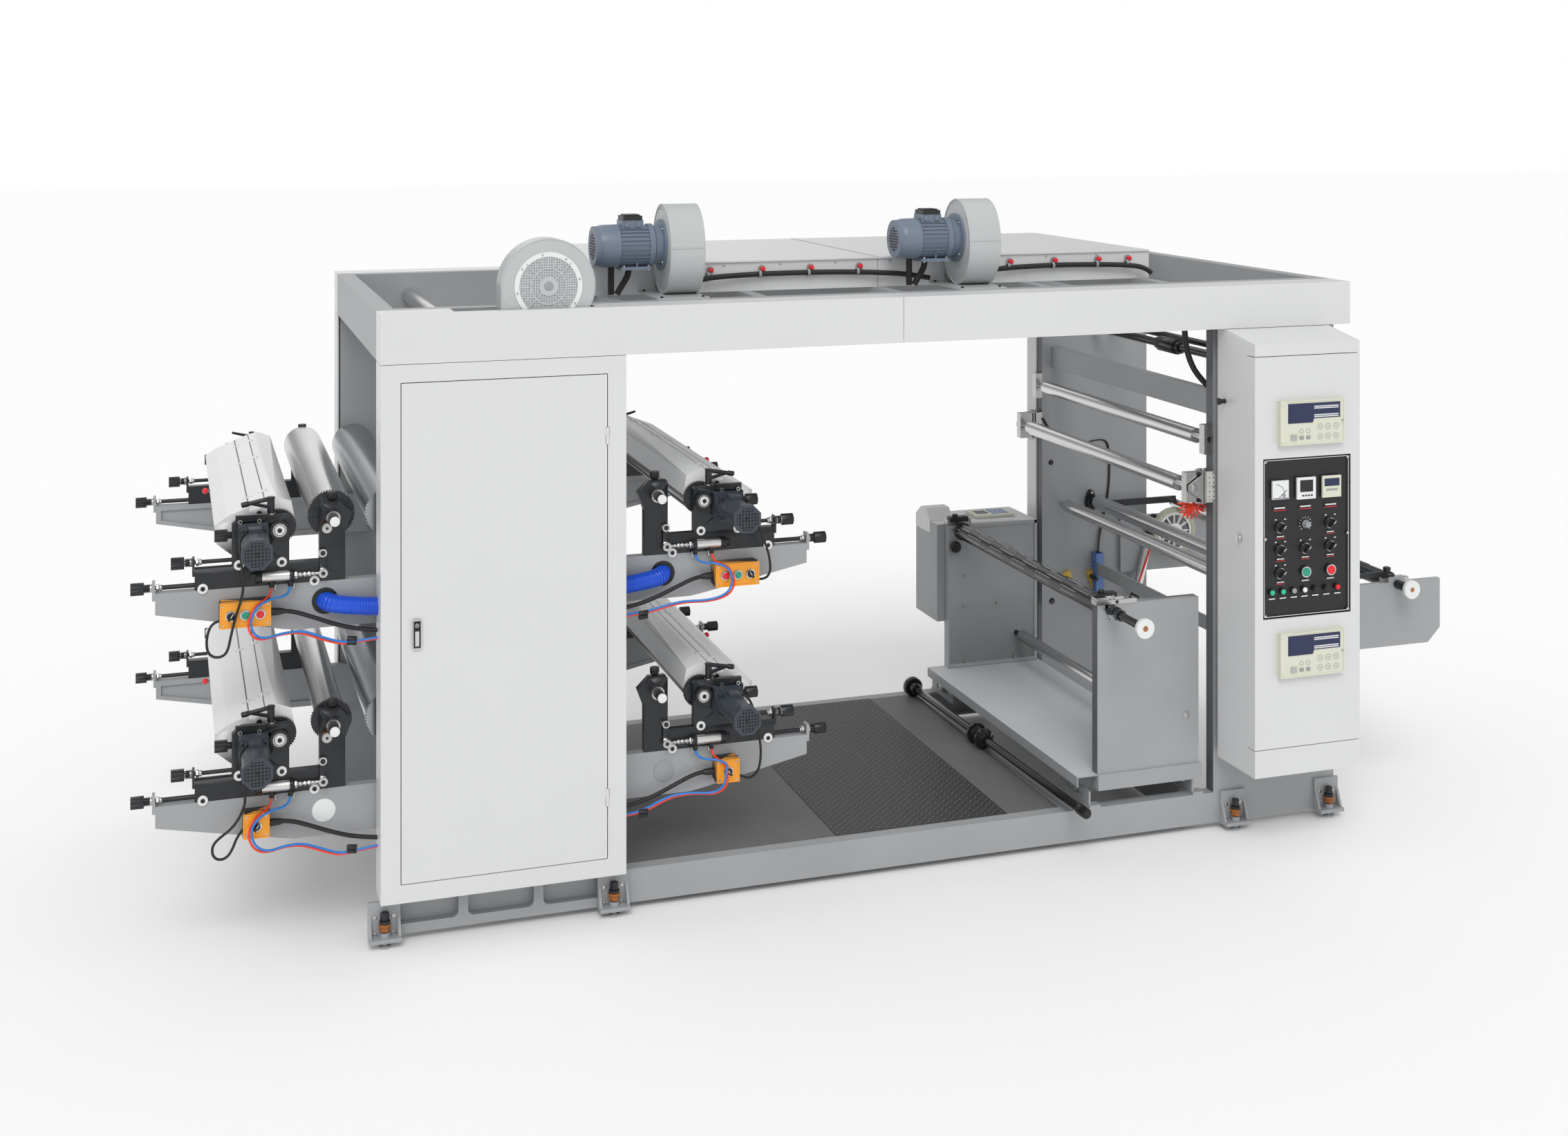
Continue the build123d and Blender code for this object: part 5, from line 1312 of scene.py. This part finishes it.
def wheelAndCylinder():
    # the length counter's wheel with its spoked hub, the black bar over it, and the lift cylinder on its pin
    x, y, z = web["wheel"]
    centre = (x, 0, z)
    radius = web["wheelRadius"]
    tyre = [ring("y", centre, y - 16, y + 16, radius - 20, radius, 64)]
    steel = [ring("y", centre, y - 13, y + 13, radius - 32, radius - 20, 64),
             ring("y", centre, y - 15, y + 15, 20, 40, 40)]
    for k in range(12):
        spoke = brick(x - 4, x + 4, y - 6, y + 6, z + 38, z + radius - 30)
        steel.append(leaning(spoke, "y", k * pi / 6, centre))
    dark = [rod("y", centre, y - 22, y + 22, 19, 28, 2.0)]
    bar = [brick(3540, 3990, 1590, 1602, 962, 992)]
    for bx in (3700, 3900):
        dark.append(rod("y", (bx, 0, 977), 1587, 1591, 5, 14, 0.8))
    low = np.array(web["cylinderLow"], float)
    high = np.array(web["cylinderHigh"], float)
    way = (high - low) / np.linalg.norm(high - low)
    barrel = np.array([low + way * s for s in np.linspace(40, 330, 12)])
    steelRod = np.array([low + way * s for s in np.linspace(330, np.linalg.norm(high - low), 4)])
    greys = [tube(sweptGrid(barrel, 21, 24, (0.2, 1, 0.1)))]
    ends = [tube(sweptGrid(np.array([low + way * s for s in (0, 20, 42)]), 24, 20, (0.2, 1, 0.1))),
            tube(sweptGrid(np.array([low + way * s for s in (328, 340, 352)]), 24, 20, (0.2, 1, 0.1))),
            rod("y", (low[0], 0, low[2]), 1575, 1606, 11, 20, 1.0),
            rod("y", (high[0], 0, high[2]), 1578, 1604, 12, 20, 1.0)]
    steel.append(tube(sweptGrid(steelRod, 7, 14, (0.2, 1, 0.1))))
    path = evenly(smoothLine([(3862, 1574, 820), (3838, 1566, 760), (3800, 1566, 660), (3770, 1570, 580),
                                     (3755, 1580, 520)]), 6)[0]
    make("counter_wheel_and_lift", "stand",
         [(wheelRubber, tyre), (aluminium, steel), (blackSteel, bar + dark + ends), (aluminium, greys),
          (tubeRed, [tube(sweptGrid(path, 4.5, 10))])])


unwind = {"axis": (2830, 915), "front": 97, "back": 1606, "thick": 44, "left": 2775, "right": 3225,
          "top": 936,
          "core": 36}


def unwindStand():
    x, z = unwind["axis"]
    front = unwind["front"]
    back = unwind["back"]
    thick = unwind["thick"]
    top = unwind["top"]
    regions = [(framePaint, *everywhere),
               (deckPaint, (2680, 100, 270), (3240, 1604, 276)),
               (groundSteel, (x - 62, 0, top - 0.5), (x + 62, 9999, top + 40)),
               (framePaint, (2730, 1650, 400), (3226, 1870, 930)),
               (whitePaint, (2730, 1640, 930), (3230, 1870, 942))]
    dressedCopy("unwind_stand", regions)
    steel = [brick(x - 62, x + 118, front - 2, front + 40, top, top + 18)]
    black = []
    for dx in (-40, 60, 100):
        black.append(rod("z", (x + dx, front + 20, 0), top + 18, top + 22, 6, 16, 1.0))
    black.append(rod("y", (x + 30, 0, top + 9), front - 4, front - 1, 7, 18, 1.0))
    for y0 in (front + 2, back - thick - 26):
        black.append(brick(x - 50, x + 42, y0 + 18, y0 + 56, top + 18, top + 40))
        black.append(rod("z", (x - 20, y0 + 34, 0), top + 40, top + 52, 13, 24, 2.0))
    steel.append(rod("z", (x + 6, front + 20, 0), top + 16, top + 34, 23, 32, 4.0))
    black.append(rod("z", (x + 6, front + 20, 0), top + 32, top + 37, 15, 28, 2.0))
    points, faces = turned([(0, 10), (10, 10), (12, 18), (20, 26), (38, 27), (42, 22)], (0, 0, 0), "y", 40,
                           0.08, 20)
    for kx, kz in ((x - 8, top - 14), (x - 34, top - 92)):
        black.append((points * (1, -1, 1) + (kx, back - thick - 1, kz), faces))
    grips = [ring("y", (x, 0, z), front + low, front + high, 16, outer, 32)
             for low, high, outer in ((-92, -60, 22), (-58, -40, 25), (-30, -4, 21))]
    nuts = [rod("x", (0, front - 74, z - 6), x - 44, x - 22, 10, 6, 1.0),
            rod("x", (0, front - 74, z - 6), x - 56, x - 44, 6, 16, 1.0)]
    make("unwind_clamps", "unwind_stand", [(groundSteel, steel), (blackPlastic, black)],
         bevel=1.0)
    y = frontOf("unwind_shaft")
    disc = [ring("y", (x, 0, z), y - 0.5, y + 15, 11, 37.5, 48)]
    copperParts = [rod("y", (x, 0, z), y - 1, y + 6, 11, 28, 1.0)]
    leaves = []
    for row, angle in enumerate((0.35, 1.25, 2.1, 2.9)):
        for k in range(6):
            y0 = 230 + k * 232 + (row % 2) * 96
            for edge in (-9, 9):
                leaf = brick(edge - 0.9, edge + 0.9, y0, y0 + 132, unwind["core"] - 2, unwind["core"] + 0.9)
                leaf = leaning(leaf, "y", angle - pi / 2, (0, 0, 0))
                leaves.append((leaf[0] + (x, 0, z), leaf[1]))
    collars = [ring("y", (x, 0, z), 168, 186, unwind["core"] - 1, unwind["core"] + 4, 48),
               ring("y", (x, 0, z), 1516, 1534, unwind["core"] - 1, unwind["core"] + 4, 48)]
    make("unwind_shaft_fittings", "unwind_shaft",
         [(whitePlastic, disc), (copper, copperParts), (drumSteel, leaves + nuts),
          (blackSteel, collars + grips)])
    inner = back - thick
    trims = [brick(unwind["left"] - 3, unwind["left"] + 1, inner - 4, back, 212, top),
             brick(unwind["left"], unwind["right"], inner - 5, inner, top - 14, top + 1),
             brick(unwind["right"] - 12, unwind["right"] + 2, inner - 5, inner, 276, top),
             brick(unwind["left"], unwind["right"], inner - 7, inner, 276, 292)]
    # the front plate's left end face in the darkened frame grey: painted shade
    edge = [brick(unwind["left"] - 1, unwind["left"] + 5, front + 1, front + thick - 1, 276, top - 1)]
    heads = []
    for bx, bz in ((2860, 300), (3110, 300), (2850, 700), (2850, 560), (3020, 560)):
        heads.append(rod("y", (bx, 0, bz), inner - 9, inner, 7 if bz < 400 else 4, 6 if bz < 400 else 16,
                         1.0))
    heads.append(rod("y", (3170, 0, 470), front - 8, front, 9, 6, 1.2))
    heads.append(rod("y", (3170, 0, 470), front - 3, front, 14, 28, 0.8))
    hood = prism([(1863.2, 880), (1863.2, 940), (1800, 985), (1740, 985), (1690, 937.5), (1690, 880)], "x",
                 2733.8, 2852)
    pad = brick(2960, 3160, 1660, 1792, 938, 950)
    key = []
    lcd = [brick(2984, 3040, 1700, 1760, 950, 951.5)]
    for k in range(4):
        for row in range(3):
            key.append(brick(3056 + k * 22, 3070 + k * 22, 1682 + row * 34, 1700 + row * 34, 950, 951.8))
    make("unwind_side_box_trim", "unwind_stand",
         [(framePaint, trims), (framePaintedShade, edge), (groundSteel, heads), (whitePaint, [hood]),
          (creamPlastic, [pad]), (navyDisplay, lcd), (bluePlastic, key)])
    roller = [rod("y", (3120, 0, 412), 205, 1498, 26, 40, 1.5)]
    journal = [rod("y", (3120, 0, 412), 141.5, 1561.5, 12, 24)]
    make("unwind_low_idler", "unwind_stand", [(chromeSteel, roller), (blackSteel, journal)])
    yellow = []
    pins = []
    for bx in (3430, 3560):
        yellow.append(leaning(brick(bx - 22, bx + 22, 1622, 1638, 560, 660), "y", 0.35, (bx, 1630, 610)))
        pins.append(rod("y", (bx - 16, 0, 628), 1560, 1624, 10, 18, 1.0))
        pins.append(rod("y", (bx + 6, 0, 600), 1612, 1623, 7, 6, 1.0))
    make("web_catches", "stand", [(yellowZinc, yellow), (blackSteel, pins)], bevel=1.0)


spare = {"front": (2649, -60), "back": (2614, 1640), "radius": 16, "gear": 44, "cones": (905, 990)}


def spareShaft():
    # a black shaft laid over the base: pinion at its back end, two facing cones, a plain grip at
    # its front end
    a = np.array([*spare["front"], 0.0])
    b = np.array([*spare["back"], 0.0])
    z = machine["railTop"] + spare["gear"] + 0.4
    length = np.linalg.norm(b - a)
    turnAngle = -np.arctan2(b[0] - a[0], b[1] - a[1])
    shaft = rod("y", (0, 0, 0), 0, length, spare["radius"], 32, 3.0)
    grip = turned([(2, 18), (8, 21), (60, 21), (64, 17)], (0, 0, 0), "y", 32)
    parts = [shaft, grip]
    for middle, sign in ((spare["cones"][0], 1), (spare["cones"][1], -1)):
        profile = [(-30, 24), (-18, 30), (0, spare["gear"]), (10, spare["gear"]), (12, 34), (30, 22)]
        cone = turned([(h * sign, r) for h, r in profile], (0, middle, 0), "y", 48)
        parts.append(cone)
        parts.append(rod("z", (0, middle - sign * 24, 0), 20, 34, 5, 12, 0.8))
    teeth = 26
    for start, width in ((length - 44, 30),):
        angles = np.arange(teeth * 4) * 2 * pi / (teeth * 4)
        radius = np.where(np.arange(teeth * 4) % 4 < 2, spare["gear"], spare["gear"] - 5)
        outline = np.stack([radius * np.cos(angles), radius * np.sin(angles)], -1)
        parts.append(prism(outline, "y", start, start + width))
    parts.append(turned([(length - 80, 20), (length - 70, 26), (length - 44, 26)], (0, 0, 0), "y", 32))
    parts.append(turned([(length - 14, 26), (length - 2, 26), (length, 22)], (0, 0, 0), "y", 32))
    placed = []
    for shape in parts:
        points, faces = leaning(shape, "z", turnAngle, (0, 0, 0))
        placed.append((points + (a[0], a[1], z), faces))
    make("spare_shaft", "stand", [(glossBlack, placed)])


def rewindEnd():
    y = frontOf("rewind_shaft")
    x, z = 4200, 895
    white = [ring("y", (x, 0, z), y - 0.5, y + 14.5, 10, 37.5, 48)]
    brass = [rod("y", (x, 0, z), y - 1, y + 6, 10, 28, 1.0)]
    collars = [ring("y", (x, 0, z), 205, 222, 33, 39, 48), ring("y", (x, 0, z), 1566, 1582, 33, 39, 48)]
    grips = [ring("y", (x, 0, z), 66, 92, 15, 21, 32), ring("y", (x, 0, z), 96, 140, 15, 19, 32)]
    leaves = []
    for row, angle in enumerate((0.5, 1.5, 2.5)):
        for k in range(6):
            y0 = 260 + k * 216 + (row % 2) * 90
            for edge in (-8, 8):
                leaf = brick(edge - 0.9, edge + 0.9, y0, y0 + 120, 32, 35.4)
                leaf = leaning(leaf, "y", angle - pi / 2, (0, 0, 0))
                leaves.append((leaf[0] + (x, 0, z), leaf[1]))
    make("rewind_shaft_fittings", "rewind_shaft",
         [(whitePlastic, white), (copper, brass), (blackSteel, collars + grips), (drumSteel, leaves)])
    steel = []
    black = []
    for y0 in (150, 1613):
        steel.append(brick(x - 70, x + 60, y0 + 1, y0 + 23, 903, 921))
        black.append(brick(x - 60, x - 10, y0 + 2, y0 + 22, 921, 934))
        black.append(turned([(934, 6), (944, 6), (946, 13), (958, 17), (966, 15)], (x - 40, y0 + 12, 0), "z",
                            32, 0.14, 8))
    black.append(leaning(brick(3900, 4160, 156, 168, 925, 945), "y", 0.02, (3900, 162, 935)))
    roller = [rod("y", (3990, 0, 950), 190, 1596, 26, 40, 1.5)]
    journal = [rod("y", (3990, 0, 950), 152, 1634, 11, 24)]
    make("rewind_clamps", "stand", [(groundSteel, steel), (blackSteel, black)], bevel=0.8)
    make("rewind_lay_on_roller", "stand", [(chromeSteel, roller), (blackSteel, journal)])


def baseFittings():
    feet = [21, 829, 3375, 3811]
    black, nuts, steel = [], [], []
    for x in feet:
        for y in (machine["plateFront"] - 31, machine["width"] - machine["plateFront"] + 31):
            black.append(rod("z", (x, y, 0), 92, 121, 15, 6, 2.0))
            black.append(rod("z", (x, y, 0), 84, 93, 19, 28, 1.0))
            nuts.append(rod("z", (x, y, 0), 56, 74, 18.5, 6, 1.5))
            nuts.append(rod("z", (x, y, 0), 74, 82, 21, 28, 1.0))
            black.append(rod("z", (x, y, 0), 16, 56, 11.5, 24))
            for k in range(9):
                black.append(ring("z", (x, y, 0), 20 + k * 4, 22 + k * 4, 11, 12.6, 24))
            side = -1 if y < 900 else 1
            for dx in (-36, 36):
                for dz in (40, 98):
                    wall = 97 if side < 0 else machine["width"] - 97
                    steel.append(rod("y", (x + dx * 0.9, 0, dz), wall + side * 12 - 3, wall + side * 12 + 3,
                                     8, 6, 1.0))
    make("foot_bolts", "stand", [(blackSteel, black), (rustyNut, nuts), (groundSteel, steel)])


webStand()
wheelAndCylinder()
unwindStand()
spareShaft()
rewindEnd()
baseFittings()
print("web stand, unwinding stand, rewind end and base")


# Camera, light and floor

photo = {"width": 2268, "height": 1643, "focalPixels": 2719.27, "horizonRow": 149.85,
         "place": (-2.5336, -7.299, 2.9048), "turn": -0.3205}
studio = {"world": 0.80, "gloss": (0.68, 0.34, 8.0, 4.0), "sun": 1.15, "sunFrom": (-1.6, -4.6, 5.2),
          "sunSoftness": 32, "floor": 0.93, "reach": 60.0}


def placeCamera():
    camera = bpy.data.cameras.new("camera")
    camera.sensor_width = 36.0
    camera.lens = photo["focalPixels"] * 36.0 / photo["width"]
    camera.shift_y = (photo["horizonRow"] - photo["height"] / 2) / photo["width"]
    camera.clip_end = 300
    holder = bpy.data.objects.new("camera", camera)
    holder.location = photo["place"]
    holder.rotation_euler = (pi / 2, 0, photo["turn"])
    bpy.context.scene.collection.objects.link(holder)
    bpy.context.scene.camera = holder


def placeFloor():
    floor = bpy.data.meshes.new("floor")
    reach = studio["reach"]
    floor.from_pydata([(-reach, -reach, 0), (reach, -reach, 0), (reach, reach, 0), (-reach, reach, 0)], [],
                      [(0, 1, 2, 3)])
    piece = bpy.data.objects.new("floor", floor)
    bpy.context.scene.collection.objects.link(piece)
    floor.materials.append(newFinish("studio_floor", (studio["floor"],) * 3, 0.9))


def placeLights():
    world = bpy.data.worlds.new("studio")
    bpy.context.scene.world = world
    world.use_nodes = True
    tree = world.node_tree
    sky = tree.nodes["Background"]
    sky.inputs["Color"].default_value = (1, 1, 1, 1)
    sky.inputs["Strength"].default_value = studio["world"]
    white = tree.nodes.new("ShaderNodeBackground")
    white.inputs["Color"].default_value = (1, 1, 1, 1)
    white.inputs["Strength"].default_value = 1.0
    # bands for the shiny rollers: strength = middle + swing * sin(alongX x + alongZ z) of the
    # ray's own direction
    middle, swing, alongX, alongZ = studio["gloss"]
    place = tree.nodes.new("ShaderNodeTexCoord")
    dot = tree.nodes.new("ShaderNodeVectorMath")
    dot.operation = "DOT_PRODUCT"
    dot.inputs[1].default_value = (alongX, 0, alongZ)
    wave = tree.nodes.new("ShaderNodeMath")
    wave.operation = "SINE"
    strength = tree.nodes.new("ShaderNodeMath")
    strength.operation = "MULTIPLY_ADD"
    strength.inputs[1].default_value = swing
    strength.inputs[2].default_value = middle
    bands = tree.nodes.new("ShaderNodeBackground")
    bands.inputs["Color"].default_value = (1, 1, 1, 1)
    tree.links.new(place.outputs["Generated"], dot.inputs[0])
    tree.links.new(dot.outputs["Value"], wave.inputs[0])
    tree.links.new(wave.outputs["Value"], strength.inputs[0])
    tree.links.new(strength.outputs["Value"], bands.inputs["Strength"])
    rays = tree.nodes.new("ShaderNodeLightPath")
    glossMix = tree.nodes.new("ShaderNodeMixShader")
    mix = tree.nodes.new("ShaderNodeMixShader")
    tree.links.new(rays.outputs["Is Glossy Ray"], glossMix.inputs["Fac"])
    tree.links.new(sky.outputs["Background"], glossMix.inputs[1])
    tree.links.new(bands.outputs["Background"], glossMix.inputs[2])
    tree.links.new(rays.outputs["Is Camera Ray"], mix.inputs["Fac"])
    tree.links.new(glossMix.outputs["Shader"], mix.inputs[1])
    tree.links.new(white.outputs["Background"], mix.inputs[2])
    tree.links.new(mix.outputs["Shader"], tree.nodes["World Output"].inputs["Surface"])
    sun = bpy.data.lights.new("sun", "SUN")
    sun.energy = studio["sun"]
    sun.angle = radians(studio["sunSoftness"])
    holder = bpy.data.objects.new("sun", sun)
    holder.location = studio["sunFrom"]
    holder.rotation_euler = holder.location.to_track_quat("Z", "Y").to_euler()
    bpy.context.scene.collection.objects.link(holder)


placeCamera()
placeFloor()
placeLights()
bpy.context.scene.view_settings.view_transform = "Standard"
print("camera, floor and lights")
